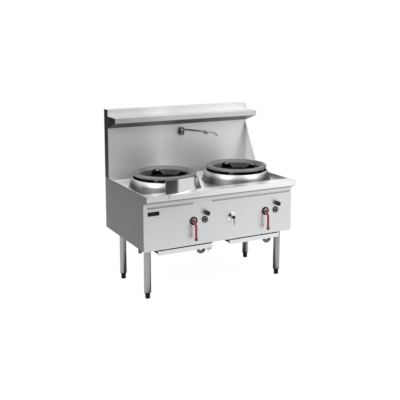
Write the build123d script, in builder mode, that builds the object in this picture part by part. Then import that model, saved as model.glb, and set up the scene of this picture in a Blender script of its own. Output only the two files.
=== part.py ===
from build123d import *
from math import cos, radians, sin
import os

# Two-burner wok range: a stainless cabinet on tube legs, with a pressed deck, a splashback and pot
# shelf, two chimney rings with cast wok rings, gas and water controls, and slide-out drip trays.
# Millimetres. +Z is up, the front faces -Y, and the origin is on the floor under the middle.

# ---- overall -------------------------------------------------------------------------------------
width = 1200.0
depth = 780.0
height = 1280.0
sheet = 1.5  # thickness of the folded stainless sheet
touch = 0.3  # gap left between a lifting or sliding piece and its seat
running = 0.06  # radial clearance of a spindle in its bore

# ---- cabinet -------------------------------------------------------------------------------------
cabinet_bottom = 375.0
rim_top = 765.0
apron_height = 38.0
apron_overhang = 53.0  # how far the deck's front apron stands ahead of the front panel
apron_return = 22.0
nose_drop = 20.0  # height of the side panels' slanted nose below the apron
panel_return = 18.0
slot_wide = 5.5
slot_tall = 13.0
slot_pitch = 12.5
slot_row_drop = 52.5  # row's middle below the apron's lower edge
slot_margin_left = 33.0
slot_margin_right = 25.0
slots_in_left_row = 28
slots_in_right_row = 53

# ---- deck ----------------------------------------------------------------------------------------
front_rim = 88.0
side_rim = 10.0
recess_depth = 30.0
cove_run = 28.0
cove_rise = 10.0
ring_spread = 38 / 132  # share of the spare width between the rings, on each side of the middle
ring_front_gap = 7.0  # chimney ring behind the recess's front edge
well_gap = 2.0  # between the deck's hole and the fire chamber

# ---- splashback, side wing and pot shelf ---------------------------------------------------------
splash_thick = 77.0
shelf_reach = 151.0
shelf_below_top = 49.0
shelf_lip = 37.0
shelf_drop = 52.0  # how much lower the underside meets the splashback than the lip
wing_below_top = 146.0
wing_foot = 208.0  # length of the wing's lower edge
wing_return = 12.0

# ---- base frame, legs and feet -------------------------------------------------------------------
frame_rise = 5.0  # frame's underside above the cabinet's lower edge
frame_flange = 30.0
frame_gauge = 3.0
cross_plate = 70.0
burner_bar_wide = 60.0
burner_bar_thick = 5.0
leg_diameter = 50.0
leg_wall = 1.5
leg_inset_left = 75.0
leg_inset_right = 43.0
leg_inset_front = 118.0
leg_inset_back = 152.0
spigot_length = 45.0
spigot_fit = 0.1
foot_diameter = 35.0
foot_height = 33.0
collar_height = 12.0
collar_step = 0.7
stem_radius = 8.0
stem_length = 42.0
bush_gap = 14.0
bush_length = 15.0

# ---- chimney rings, wok rings and the splash guard ----------------------------------------------
chimney_base_radius = 262.0
chimney_wall = 2.0
chimney_bead = 4.0
chimney_lean = 14.0  # how much the wall draws in by the shoulder
shoulder_height = 57.0  # shoulder above the deck's floor
shoulder_run = 8.0
shoulder_rise = 6.0
curl_radius = 9.0
curl_centre_radius = 231.0
curl_centre_height = 71.0
wok_ring_radius = 230.0
wok_flange = 26.0
wok_rim_thick = 22.0
wok_rim_round = 8.0
wok_lug_height = 16.7
wok_lug_wide = 30.0
wok_lug_deep = 12.0
petal_reach = 54.0
petal_drop = 54.0
petal_thick = 11.0
petal_notch_root = 24.0  # top of each notch, in from the flange
petal_notch_top = 40.0
petal_notch_tip = 104.0
notch_start_angle = 86.0
notch_count = 5
vent_cut_angle = 24.0
vent_cut_wide = 68.0
vent_cut_deep = 8.0
guard_height = 98.0
guard_gauge = 2.0
guard_left = (-154.0, 17.0)  # plan points of its bowed front face, from the ring's X and the apron's Y
guard_middle = (-38.0, 15.0)
guard_right = (90.0, 48.0)
guard_strip_start = 3.0  # the doubled strip at its left end, along X from that end
guard_strip_end = 40.0
guard_strip_gauge = 1.5
guard_hook_offset = -135.0
guard_hook_drop = 25.0
guard_hook_wide = 4.0
guard_hook_gauge = 2.0

# ---- fire chambers and burners -------------------------------------------------------------------
chamber_radius = 210.0
chamber_wall = 3.0
chamber_bottom = 470.0
chamber_top = 790.0
chamber_flange = 15.0
chamber_flange_thick = 3.0
chamber_hole_radius = 55.0
burner_foot_radius = 45.0
burner_foot_thick = 8.0
burner_stem_radius = 22.0
burner_head_radius = 75.0
burner_head_bottom = 535.0
burner_head_top = 590.0
burner_port_count = 16
burner_port_radius = 4.0
burner_inlet_height = 430.0
burner_inlet_radius = 16.0
burner_inlet_reach = 90.0

# ---- gas controls --------------------------------------------------------------------------------
manifold_radius = 12.5
inlet_radius = 13.35  # three-quarter inch pipe end that a hose goes over
inlet_grip = 30.0
manifold_z = 638.0
inlet_from_side = 20.0
inlet_from_panel = 113.0
manifold_from_panel = 50.0
inlet_jog_z = 440.0  # where the pipe comes forward to the manifold
inlet_length = 37.0  # how far the inlet stub hangs below the cabinet
lever_offset = {"left": 77.5, "right": 71.5}  # each lever's spindle from its burner
lever_z = 548.0
knob_offset = 98.5  # to the right of the lever
knob_z = 597.0
igniter_offset = 89.5
igniter_z = 548.0
valve_size = 36.0
valve_length = 64.0
valve_stem_radius = 5.0
bezel_radius = 30.0
bezel_thick = 5.0
bezel_hole_radius = 13.0
lever_standoff = 40.0
lever_hub_radius = 11.0
lever_hub_length = 18.0
lever_hub_cap = 3.0  # metal left over the spindle's end in the hub
stem_end_gap = 1.0  # between a spindle's end and the hub that it turns
lever_rod_radius = 6.5
lever_knee_drop = 33.0
lever_knee_bend = 18.0
lever_ball_drop = 123.0
lever_ball_radius = 13.0
knob_radius = 16.5
knob_length = 33.0
knob_gap = 1.0
knob_stem_radius = 4.0
knob_grip_depth = 19.0
knob_round = 2.0
pilot_valve_size = 24.0
pilot_valve_length = 56.0
pilot_outlet_back = 42.0  # pilot tap's outlet behind the panel
pilot_tube_radius = 3.0
pilot_tip_radius = 6.0
igniter_radius = 24.0
igniter_proud = 8.0
igniter_body_radius = 11.0
igniter_body_length = 30.0
button_radius = 8.5
button_bore_gap = 0.5
button_proud = 7.0
button_travel = 6.0
button_round = 1.5
button_root = 1.0  # how far the button reaches behind the panel's face
supply_radius = 8.0
nipple_radius = 10.0
pilot_nipple_radius = 5.0

# ---- water ---------------------------------------------------------------------------------------
tap_x = 86.0
tap_z = 541.0
escutcheon_radius = 35.0
escutcheon_edge = 3.0
escutcheon_dome = 8.0
tap_body_size = 30.0
tap_body_length = 48.0
tap_bonnet_radius = 11.0
tap_bonnet_proud = 20.0
tap_stem_radius = 4.0
tap_hub_radius = 12.5
tap_hub_length = 13.0
tap_hub_round = 3.0
tap_hub_cap = 3.0  # metal left over the spindle's end in the hub
tap_lever_radius = 3.5
tap_lever_length = 62.0
tap_lever_lean = 8.0
water_pipe_radius = 7.5
water_run_z = 445.0
water_rise_z = 612.0
water_stub_radius = 10.5
water_stub_length = 30.0
water_stub_grip = 25.0
water_stub_x = -40.0
water_stub_from_back = 60.0
pipe_bend = 24.0
faucet_x = 2.0
faucet_below_top = 180.0
faucet_flange_radius = 23.0
faucet_flange_thick = 6.0
faucet_reach = 24.0
faucet_body_radius = 16.0
faucet_body_drop = 34.0
faucet_feed_drop = 20.0
faucet_spur_radius = 8.5
faucet_spindle_radius = 7.0
faucet_collar_radius = 17.0
faucet_collar_height = 18.0
faucet_cap_radius = 13.0
faucet_cap_height = 9.0
faucet_inner_reach = 220.0
faucet_inner_angle = -64.5  # plan direction of the inner arm, from +X
faucet_inner_radius = 9.0
faucet_outer_reach = 110.0
faucet_outer_angle = -68.0
faucet_outer_radius = 7.0
faucet_outer_drop = 17.0
faucet_foot_reach = 20.0  # level run out of the elbow
faucet_step_reach = 36.0  # where the outer arm is back at the inner arm's height
faucet_bend = 12.0
elbow_radius = 12.5
elbow_foot = 2.0  # elbow's boss below the outer arm
elbow_pin_radius = 6.0
nozzle_radius = 9.0
nozzle_drop = 24.0
nozzle_wall = 2.0

# ---- drip trays ----------------------------------------------------------------------------------
tray_inner_x = 70.0
tray_from_side = 104.0
tray_flange = 8.0
tray_drop = 34.0  # tray's floor below the cabinet
tray_front_gap = 8.0
tray_front_skirt = 5.0
tray_wall_gap = 3.5
tray_depth = 560.0
tray_gauge = 1.2
tray_hem = 3.0
runner_gauge = 1.5
runner_gap = 1.2
runner_foot = 7.0
trap_from_panel = 58.0
trap_from_inner = 62.0  # left trap, from its tray's inner end
trap_from_outer = 70.0  # right trap, from its tray's outer end
trap_pipe_radius = 12.5
trap_spacing = 48.0
trap_head_height = 14.0
trap_outlet_length = 60.0
trap_outlet_radius = 12.0
trap_outlet_grip = 40.0
trap_neck_radius = 11.0
trap_outlet_bore = 9.5
trap_outlet_bore_depth = 30.0
trap_bend_drop = 22.0  # middle of the bend below the tray
trap_flange_radius = 20.0
trap_flange_thick = 5.0
cock_from_inner = 14.0
cock_from_panel = 38.0
cock_pipe_radius = 5.0
cock_body_radius = 9.0
cock_body_height = 22.0
cock_drop = 41.0  # its lower end below the tray
cock_stem_radius = 2.5
cock_lever_length = 26.0
cock_lever_wide = 8.0
cock_lever_thick = 3.0
cock_lever_gap = 1.5  # between the cock's body and its handle
cock_stem_reach = 6.0  # spindle's end beyond the body

# ---- trim ----------------------------------------------------------------------------------------
plate_from_side = 73.0
plate_z = 634.5
plate_wide = 87.0
plate_tall = 29.0
plate_round = 5.0
plate_thick = 2.0
screw_head_radius = 4.0
screw_head_thick = 2.5
screw_shank_radius = 2.5
screw_length = 12.0
screw_inset = 10.0
screw_height = 404.0
apron_screw = (4.0, 706.0)

# ---- worked out from the above -------------------------------------------------------------------
half_width = width / 2
front_y = -depth / 2 + guard_hook_gauge
back_y = depth / 2
panel_y = front_y + apron_overhang
inner_x = half_width - sheet
inner_front_y = panel_y + sheet
inner_back_y = back_y - sheet
apron_bottom = rim_top - apron_height
deck_floor = rim_top - recess_depth
deck_under = deck_floor - sheet
splash_y = back_y - splash_thick
recess_front_y = front_y + front_rim
frame_bottom = cabinet_bottom + frame_rise
plate_top = frame_bottom + frame_gauge
bar_top = plate_top + burner_bar_thick
well_radius = chamber_radius + well_gap
nose_z = apron_bottom - nose_drop
rim_under = rim_top - sheet
wing_front_y = splash_y - wing_foot
leg_radius = leg_diameter / 2
leg_bottom = foot_height + collar_height + touch
leg_places = {
    "front_left": (-half_width + leg_inset_left, panel_y + leg_inset_front),
    "front_right": (half_width - leg_inset_right, panel_y + leg_inset_front),
    "back_left": (-half_width + leg_inset_left, back_y - leg_inset_back),
    "back_right": (half_width - leg_inset_right, back_y - leg_inset_back),
}
recess_x = half_width - side_rim
burner_x = chimney_base_radius + ring_spread * (2 * recess_x - 4 * chimney_base_radius)
burner_y = recess_front_y + ring_front_gap + chimney_base_radius
sides = {"left": -burner_x, "right": burner_x}
controls_x = {side: x + lever_offset[side] for side, x in sides.items()}
inlet_x = -half_width + inlet_from_side
inlet_y = panel_y + inlet_from_panel
manifold_y = panel_y + manifold_from_panel
shelf_top = height - shelf_below_top
wing_top = height - wing_below_top
curl_z = deck_floor + curl_centre_height
wok_under = curl_z + curl_radius + touch + wok_lug_height
wok_top = wok_under + wok_rim_thick
slot_z = apron_bottom - slot_row_drop
lever_y = panel_y - lever_standoff
water_run_y = inner_front_y + tap_body_length / 2
valve_mid_y = inner_front_y + valve_length / 2
faucet_z = height - faucet_below_top
faucet_pivot_y = splash_y - faucet_reach
faucet_pipe_y = splash_y + splash_thick / 2
faucet_feed_z = faucet_z - faucet_feed_drop
faucet_elbow_x = faucet_x + faucet_inner_reach * cos(radians(faucet_inner_angle))
faucet_elbow_y = faucet_pivot_y + faucet_inner_reach * sin(radians(faucet_inner_angle))
faucet_outer_z = faucet_z - faucet_outer_drop
water_stub_y = back_y - water_stub_from_back
tray_outer_x = half_width - tray_from_side
tray_bottom = cabinet_bottom - tray_drop
tray_front_top = cabinet_bottom - tray_front_gap
tray_wall_top = cabinet_bottom - tray_wall_gap
trap_x = {"left": -tray_inner_x - trap_from_inner, "right": tray_outer_x - trap_from_outer}
trap_y = panel_y + trap_from_panel
cock_x = -tray_inner_x - cock_from_inner
cock_y = panel_y + cock_from_panel
cock_bottom = tray_bottom - cock_drop
plate_x = -half_width + plate_from_side


def block(low, high, mode=Mode.ADD):
    """A box between two corners, in the part being built."""
    middle = [(a + b) / 2 for a, b in zip(low, high)]
    with Locations(tuple(middle)):
        Box(*[b - a for a, b in zip(low, high)], mode=mode)


def facing_front(x, y, z):
    """A plane at a point, looking out of the front: a sketch on it has X to the right and Z up."""
    return Plane(origin=(x, y, z), x_dir=(1, 0, 0), z_dir=(0, -1, 0))


def level(x, y, z):
    """A horizontal plane at a point."""
    return Plane(origin=(x, y, z), x_dir=(1, 0, 0), z_dir=(0, 0, 1))


def facing_right(x, y, z):
    """A plane looking along +X: a sketch on it has Y to the right and Z up."""
    return Plane(origin=(x, y, z), x_dir=(0, 1, 0), z_dir=(1, 0, 0))


def disc(plane, radius, length, mode=Mode.ADD):
    """A cylinder that grows from a plane along its normal."""
    with BuildSketch(plane) as round_face:
        Circle(radius)
    extrude(round_face.sketch, amount=length, mode=mode)


def pipe(points, radius, bend):
    """A round pipe along straight runs joined by bends."""
    with BuildLine() as route:
        if len(points) > 2:
            FilletPolyline(*points, radius=bend)
        else:
            Polyline(*points)
    with BuildSketch(route.line ^ 0) as round_face:
        Circle(radius)
    sweep(round_face.sketch, path=route.line)


def save(builder, name):
    """Labels a finished piece and writes its file."""
    builder.part.label = name
    export_step(builder.part, f"parts/{name}.step")


os.makedirs("parts", exist_ok=True)

# ---- cabinet shell -------------------------------------------------------------------------------
with BuildPart() as front_panel:
    block((-half_width, panel_y, cabinet_bottom), (half_width, inner_front_y, nose_z))
    block((-inner_x, panel_y, nose_z), (inner_x, inner_front_y, rim_under))
    for x in (-inner_x, inner_x - sheet):
        block(
            (x, inner_front_y, frame_bottom + frame_flange),
            (x + sheet, inner_front_y + panel_return, apron_bottom),
        )
    left_row = [-half_width + slot_margin_left + i * slot_pitch for i in range(slots_in_left_row)]
    right_row = [half_width - slot_margin_right - i * slot_pitch for i in range(slots_in_right_row)]
    with BuildSketch(facing_front(0, inner_front_y, slot_z)):
        with Locations([(x, 0) for x in left_row + right_row]):
            Rectangle(slot_wide, slot_tall)
    extrude(amount=sheet, mode=Mode.SUBTRACT)
    holes = [(tap_x, tap_z, tap_bonnet_radius + spigot_fit)]
    for x in controls_x.values():
        holes.append((x, lever_z, bezel_hole_radius))
        holes.append((x + knob_offset, knob_z, knob_stem_radius + spigot_fit))
        holes.append((x + igniter_offset, igniter_z, igniter_body_radius + spigot_fit))
    for x in (-half_width + screw_inset, half_width - screw_inset):
        holes.append((x, screw_height, screw_shank_radius + spigot_fit))
    holes.append((*apron_screw, screw_shank_radius + spigot_fit))
    for x, z, radius in holes:
        disc(facing_front(x, inner_front_y, z), radius, sheet, Mode.SUBTRACT)
save(front_panel, "front_panel")

for side, sign in (("left", -1), ("right", 1)):
    with BuildPart() as side_panel:
        with BuildSketch(facing_right(min(sign * half_width, sign * inner_x), 0, 0)):
            with BuildLine():
                Polyline(
                    (inner_front_y, cabinet_bottom),
                    (inner_back_y, cabinet_bottom),
                    (inner_back_y, rim_top),
                    (front_y, rim_top),
                    (front_y, apron_bottom),
                    (panel_y, nose_z),
                    (inner_front_y, nose_z),
                    close=True,
                )
            make_face()
        extrude(amount=sheet)
    save(side_panel, f"side_panel_{side}")

with BuildPart() as rear_panel:
    block((-half_width, inner_back_y, cabinet_bottom), (half_width, back_y, rim_top))
    block((-inner_x, inner_back_y, rim_top), (inner_x, back_y, height - sheet))
save(rear_panel, "rear_panel")

with BuildPart() as base_frame:
    block((-inner_x, inner_front_y, frame_bottom), (inner_x, inner_back_y, frame_bottom + frame_flange))
    block(
        (-inner_x + frame_gauge, inner_front_y + frame_gauge, plate_top),
        (inner_x - frame_gauge, inner_back_y - frame_gauge, frame_bottom + frame_flange),
        Mode.SUBTRACT,
    )
    block(
        (-inner_x + frame_flange, inner_front_y + frame_flange, frame_bottom),
        (inner_x - frame_flange, inner_back_y - frame_flange, plate_top),
        Mode.SUBTRACT,
    )
    for y in sorted({place[1] for place in leg_places.values()}):
        block((-inner_x, y - cross_plate / 2, frame_bottom), (inner_x, y + cross_plate / 2, plate_top))
    for x in sides.values():
        block(
            (x - burner_bar_wide / 2, inner_front_y + frame_gauge, plate_top),
            (x + burner_bar_wide / 2, inner_back_y - frame_gauge, bar_top),
        )
    for x, y, radius in (
        (water_stub_x, water_stub_y, water_stub_radius),
        (inlet_x, inlet_y, inlet_radius),
    ):
        disc(level(x, y, frame_bottom), radius + spigot_fit, frame_gauge, Mode.SUBTRACT)
    for x in (-half_width + screw_inset, half_width - screw_inset):
        disc(
            facing_front(x, inner_front_y + frame_gauge, screw_height),
            screw_shank_radius + spigot_fit,
            frame_gauge,
            Mode.SUBTRACT,
        )
save(base_frame, "base_frame")

# ---- legs and feet -------------------------------------------------------------------------------
with BuildPart() as leg_spigots:
    for x, y in leg_places.values():
        disc(level(x, y, frame_bottom - spigot_length), leg_radius - leg_wall - spigot_fit, spigot_length)
save(leg_spigots, "leg_spigots")

for place, (x, y) in leg_places.items():
    bush_bottom = leg_bottom + bush_gap
    with BuildPart() as leg:
        disc(level(x, y, leg_bottom), leg_radius, frame_bottom - leg_bottom)
        disc(level(x, y, leg_bottom), leg_radius - leg_wall, bush_gap, Mode.SUBTRACT)
        disc(level(x, y, bush_bottom), stem_radius + running, bush_length, Mode.SUBTRACT)
        disc(
            level(x, y, bush_bottom + bush_length),
            leg_radius - leg_wall,
            frame_bottom - bush_bottom - bush_length,
            Mode.SUBTRACT,
        )
    save(leg, f"leg_{place}")

    with BuildPart() as foot:
        with BuildSketch(facing_front(x, y, 0)):
            with BuildLine():
                Polyline(
                    (0, 0),
                    (foot_diameter / 2, 0),
                    (foot_diameter / 2, foot_height),
                    (leg_radius - collar_step, foot_height + collar_height - collar_step),
                    (leg_radius - collar_step, foot_height + collar_height),
                    (stem_radius, foot_height + collar_height),
                    (stem_radius, foot_height + collar_height + stem_length),
                    (0, foot_height + collar_height + stem_length),
                    close=True,
                )
            make_face()
        revolve(axis=Axis((x, y, 0), (0, 0, 1)))
    save(foot, f"foot_{place}")

# ---- deck ----------------------------------------------------------------------------------------
with BuildPart() as deck:
    block((-inner_x, front_y, apron_bottom), (inner_x, splash_y, rim_top))
    block(
        (-inner_x, front_y + sheet, apron_bottom + sheet),
        (inner_x, inner_front_y, rim_top - sheet),
        Mode.SUBTRACT,
    )
    block(
        (-inner_x, front_y + apron_return, apron_bottom),
        (inner_x, inner_front_y, apron_bottom + sheet),
        Mode.SUBTRACT,
    )
    block(
        (-inner_x, inner_front_y, apron_bottom),
        (inner_x, recess_front_y - sheet, rim_top - sheet),
        Mode.SUBTRACT,
    )
    block((-recess_x, recess_front_y, deck_floor), (recess_x, splash_y, rim_top), Mode.SUBTRACT)
    block((-inner_x, recess_front_y - sheet, apron_bottom), (inner_x, splash_y, deck_under), Mode.SUBTRACT)
    for x in (-inner_x, recess_x + sheet):
        block(
            (x, recess_front_y - sheet, deck_under),
            (x + side_rim - 2 * sheet, splash_y, rim_top - sheet),
            Mode.SUBTRACT,
        )
    with BuildSketch(facing_right(-recess_x, 0, 0)):
        with BuildLine():
            Polyline(
                (splash_y - cove_run, deck_floor),
                (splash_y, deck_floor),
                (splash_y, deck_floor + cove_rise),
                close=True,
            )
        make_face()
    extrude(amount=2 * recess_x)
    for x in sides.values():
        disc(level(x, burner_y, deck_under), well_radius, sheet, Mode.SUBTRACT)
save(deck, "deck")

# ---- splashback, side wing, pot shelf ------------------------------------------------------------
with BuildPart() as splashback:
    block((-half_width, splash_y, rim_top), (half_width, back_y, height))
    block((-inner_x, splash_y + sheet, rim_top), (inner_x, back_y, height - sheet), Mode.SUBTRACT)
    block((-inner_x, splash_y, deck_under), (inner_x, splash_y + sheet, rim_top))
    disc(
        facing_front(faucet_x, splash_y + sheet, faucet_feed_z),
        faucet_spindle_radius + spigot_fit,
        sheet,
        Mode.SUBTRACT,
    )
save(splashback, "splashback")

with BuildPart() as side_wing:
    with BuildSketch(facing_right(inner_x, 0, 0)):
        with BuildLine():
            Polyline(
                (wing_front_y, rim_top),
                (splash_y, rim_top),
                (splash_y, wing_top),
                close=True,
            )
        make_face()
    extrude(amount=sheet)
    with BuildSketch(facing_right(inner_x - wing_return, 0, 0)):
        with BuildLine():
            Polyline(
                (wing_front_y, rim_top),
                (wing_front_y + 2 * sheet, rim_top),
                (splash_y, wing_top - 4 * sheet),
                (splash_y, wing_top),
                close=True,
            )
        make_face()
    extrude(amount=wing_return)
save(side_wing, "side_wing")

lip_y = splash_y - shelf_reach
lip_bottom = shelf_top - shelf_lip
root_z = lip_bottom - shelf_drop
with BuildPart() as pot_shelf:
    with BuildSketch(facing_right(-half_width, 0, 0)):
        with BuildLine():
            Polyline(
                (lip_y, shelf_top),
                (splash_y, shelf_top),
                (splash_y, root_z),
                (lip_y, lip_bottom),
                close=True,
            )
        make_face()
    extrude(amount=width)
    with BuildSketch(facing_right(-inner_x, 0, 0)):
        with BuildLine():
            Polyline(
                (lip_y + sheet, shelf_top - sheet),
                (splash_y, shelf_top - sheet),
                (splash_y, root_z + sheet),
                (lip_y + sheet, lip_bottom + sheet),
                close=True,
            )
        make_face()
    extrude(amount=2 * inner_x, mode=Mode.SUBTRACT)
save(pot_shelf, "pot_shelf")

# ---- chimney rings, wok rings, fire chambers and burners -----------------------------------------
for side, x in sides.items():
    upright = Axis((x, burner_y, 0), (0, 0, 1))
    profile = facing_front(x, burner_y, deck_floor)
    with BuildPart() as chimney_ring:
        wall_top = chimney_base_radius - chimney_lean
        neck = wall_top - shoulder_run
        neck_z = shoulder_height + shoulder_rise
        with BuildSketch(profile):
            with BuildLine():
                Polyline(
                    (chimney_base_radius - chimney_wall, 0),
                    (chimney_base_radius, 0),
                    (wall_top, shoulder_height),
                    (neck, neck_z),
                    (curl_centre_radius + chimney_wall, neck_z + chimney_wall / 2),
                    (curl_centre_radius + chimney_wall, neck_z - chimney_wall / 2),
                    (neck - chimney_wall / 2, neck_z - chimney_wall),
                    (wall_top - chimney_wall, shoulder_height - chimney_wall / 2),
                    close=True,
                )
            make_face()
            with Locations((curl_centre_radius, curl_centre_height)):
                Circle(curl_radius)
            with Locations((chimney_base_radius - chimney_bead / 2, chimney_bead)):
                Circle(chimney_bead)
        revolve(axis=upright)
    save(chimney_ring, f"chimney_ring_{side}")

    with BuildPart() as wok_ring:
        inner_radius = wok_ring_radius - wok_flange
        tip_radius = inner_radius - petal_reach
        notch_radius = inner_radius - petal_notch_root
        with BuildSketch(facing_front(x, burner_y, wok_under)):
            with BuildLine():
                Polyline(
                    (inner_radius - petal_thick, 0),
                    (wok_ring_radius, 0),
                    (wok_ring_radius, wok_rim_thick),
                    (inner_radius, wok_rim_thick),
                    (tip_radius, wok_rim_thick - petal_drop),
                    (tip_radius, wok_rim_thick - petal_drop - petal_thick),
                    close=True,
                )
            make_face()
        revolve(axis=upright)
        round_edges = wok_ring.edges().filter_by(GeomType.CIRCLE)
        rim_edges = round_edges.filter_by(lambda e: abs(e.radius - wok_ring_radius) < 0.01)
        fillet(rim_edges, wok_rim_round)
        for turn in range(notch_count):
            angle = notch_start_angle + turn * 360 / notch_count
            notch_plane = Plane(
                origin=(x, burner_y, wok_under - petal_drop),
                x_dir=(cos(radians(angle)), sin(radians(angle)), 0),
                z_dir=(0, 0, 1),
            )
            with BuildSketch(notch_plane):
                with BuildLine():
                    Polyline(
                        (0, -petal_notch_tip / 2),
                        (tip_radius, -petal_notch_tip / 2),
                        (notch_radius, -petal_notch_top / 2),
                        (notch_radius, petal_notch_top / 2),
                        (tip_radius, petal_notch_tip / 2),
                        (0, petal_notch_tip / 2),
                        close=True,
                    )
                make_face()
            extrude(amount=petal_drop + wok_rim_thick, mode=Mode.SUBTRACT)
            lug_plane = Plane(
                origin=(x, burner_y, wok_under - wok_lug_height),
                x_dir=(cos(radians(angle)), sin(radians(angle)), 0),
                z_dir=(0, 0, 1),
            )
            with BuildSketch(lug_plane):
                with Locations((wok_ring_radius - wok_rim_round / 4 - wok_lug_deep / 2, 0)):
                    Rectangle(wok_lug_deep, wok_lug_wide)
            extrude(amount=wok_lug_height + wok_rim_round)
        vent_plane = Plane(
            origin=(x, burner_y, wok_top - vent_cut_deep),
            x_dir=(cos(radians(vent_cut_angle)), sin(radians(vent_cut_angle)), 0),
            z_dir=(0, 0, 1),
        )
        with BuildSketch(vent_plane):
            with Locations((wok_ring_radius, 0)):
                Rectangle(wok_flange, vent_cut_wide)
        extrude(amount=vent_cut_deep, mode=Mode.SUBTRACT)
    save(wok_ring, f"wok_ring_{side}")

    with BuildPart() as fire_chamber:
        disc(level(x, burner_y, chamber_bottom), chamber_radius, chamber_top - chamber_bottom)
        disc(level(x, burner_y, deck_floor), chamber_radius + chamber_flange, chamber_flange_thick)
        disc(
            level(x, burner_y, chamber_bottom + chamber_wall),
            chamber_radius - chamber_wall,
            chamber_top - chamber_bottom - chamber_wall,
            Mode.SUBTRACT,
        )
        disc(level(x, burner_y, chamber_bottom), chamber_hole_radius, chamber_wall, Mode.SUBTRACT)
    save(fire_chamber, f"fire_chamber_{side}")

    with BuildPart() as burner:
        disc(level(x, burner_y, bar_top), burner_foot_radius, burner_foot_thick)
        disc(level(x, burner_y, bar_top), burner_stem_radius, burner_head_bottom - bar_top)
        disc(level(x, burner_y, burner_head_bottom), burner_head_radius, burner_head_top - burner_head_bottom)
        crown, head_under = burner.faces().filter_by(GeomType.PLANE).sort_by(Axis.Z)[-1:-3:-1]
        chamfer(crown.edges() + head_under.edges(), burner_head_radius / 6)
        disc(facing_front(x, burner_y, burner_inlet_height), burner_inlet_radius, burner_inlet_reach)
        with BuildSketch(level(x, burner_y, burner_head_top)):
            with PolarLocations(burner_head_radius * 0.6, burner_port_count):
                Circle(burner_port_radius)
        extrude(amount=-burner_port_radius * 2, mode=Mode.SUBTRACT)
    save(burner, f"burner_{side}")

    lever_x = controls_x[side]
    # gas tap: a square body behind the panel, its spindle comes out through the bezel
    with BuildPart() as gas_valve:
        block(
            (lever_x - valve_size / 2, inner_front_y, lever_z - valve_size / 2),
            (lever_x + valve_size / 2, inner_front_y + valve_length, lever_z + valve_size / 2),
        )
        neck_reach = sheet + bezel_thick
        disc(facing_front(lever_x, inner_front_y, lever_z), bezel_hole_radius - spigot_fit, neck_reach)
        stem_reach = bezel_thick + lever_hub_length - lever_hub_cap - stem_end_gap
        disc(facing_front(lever_x, panel_y, lever_z), valve_stem_radius, stem_reach)
    save(gas_valve, f"gas_valve_{side}")

    with BuildPart() as bezel:
        disc(facing_front(lever_x, panel_y, lever_z), bezel_radius, bezel_thick)
        fillet(bezel.faces().sort_by(Axis.Y)[0].edges(), bezel_thick / 2)
        disc(facing_front(lever_x, panel_y, lever_z), bezel_hole_radius, bezel_thick, Mode.SUBTRACT)
    save(bezel, f"bezel_{side}")

    hub_y = panel_y - bezel_thick - touch
    with BuildPart() as lever:
        disc(facing_front(lever_x, hub_y, lever_z), lever_hub_radius, lever_hub_length)
        pipe(
            [
                (lever_x, hub_y - lever_hub_length * 0.55, lever_z),
                (lever_x, lever_y, lever_z - lever_knee_drop),
                (lever_x, lever_y, lever_z - lever_ball_drop),
            ],
            lever_rod_radius,
            lever_knee_bend,
        )
        with Locations((lever_x, lever_y, lever_z - lever_ball_drop)):
            Sphere(lever_ball_radius)
        bore_depth = lever_hub_length - lever_hub_cap
        disc(facing_front(lever_x, hub_y, lever_z), valve_stem_radius + running, bore_depth, Mode.SUBTRACT)
    save(lever, f"lever_{side}")

    knob_x = lever_x + knob_offset
    knob_face_y = panel_y - knob_gap - knob_length
    with BuildPart() as pilot_knob:
        disc(facing_front(knob_x, panel_y - knob_gap, knob_z), knob_radius, knob_length)
        fillet(pilot_knob.faces().sort_by(Axis.Y)[0].edges(), knob_round)
        disc(
            facing_front(knob_x, panel_y - knob_gap, knob_z),
            knob_stem_radius + running,
            knob_length / 2 + touch,
            Mode.SUBTRACT,
        )
        for sign in (-1, 1):
            flat = sorted((knob_x + sign * knob_radius * 0.72, knob_x + sign * knob_radius * 1.2))
            block(
                (flat[0], knob_face_y, knob_z - knob_radius),
                (flat[1], knob_face_y + knob_grip_depth, knob_z + knob_radius),
                Mode.SUBTRACT,
            )
    save(pilot_knob, f"pilot_knob_{side}")

    igniter_x = lever_x + igniter_offset
    with BuildPart() as igniter_button:
        disc(
            facing_front(igniter_x, panel_y + button_root, igniter_z),
            button_radius,
            igniter_proud + button_proud + button_root,
        )
        fillet(igniter_button.faces().sort_by(Axis.Y)[0].edges(), button_round)
    save(igniter_button, f"igniter_button_{side}")

# ---- gas and igniter pieces that come in pairs ----------------------------------------------------
with BuildPart() as supply_pipes:
    for side, x in sides.items():
        pipe(
            [
                (controls_x[side], valve_mid_y, lever_z - valve_size / 2),
                (controls_x[side], valve_mid_y, burner_inlet_height),
                (x, valve_mid_y, burner_inlet_height),
                (x, burner_y - burner_inlet_reach, burner_inlet_height),
            ],
            supply_radius,
            pipe_bend,
        )
save(supply_pipes, "supply_pipes")

with BuildPart() as pilot_valves:
    for lever_x in controls_x.values():
        knob_x = lever_x + knob_offset
        block(
            (knob_x - pilot_valve_size / 2, inner_front_y, knob_z - pilot_valve_size / 2),
            (
                knob_x + pilot_valve_size / 2,
                inner_front_y + pilot_valve_length,
                knob_z + pilot_valve_size / 2,
            ),
        )
        stem_reach = sheet + knob_gap + knob_length / 2
        disc(facing_front(knob_x, inner_front_y, knob_z), knob_stem_radius, stem_reach)
save(pilot_valves, "pilot_valves")

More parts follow.
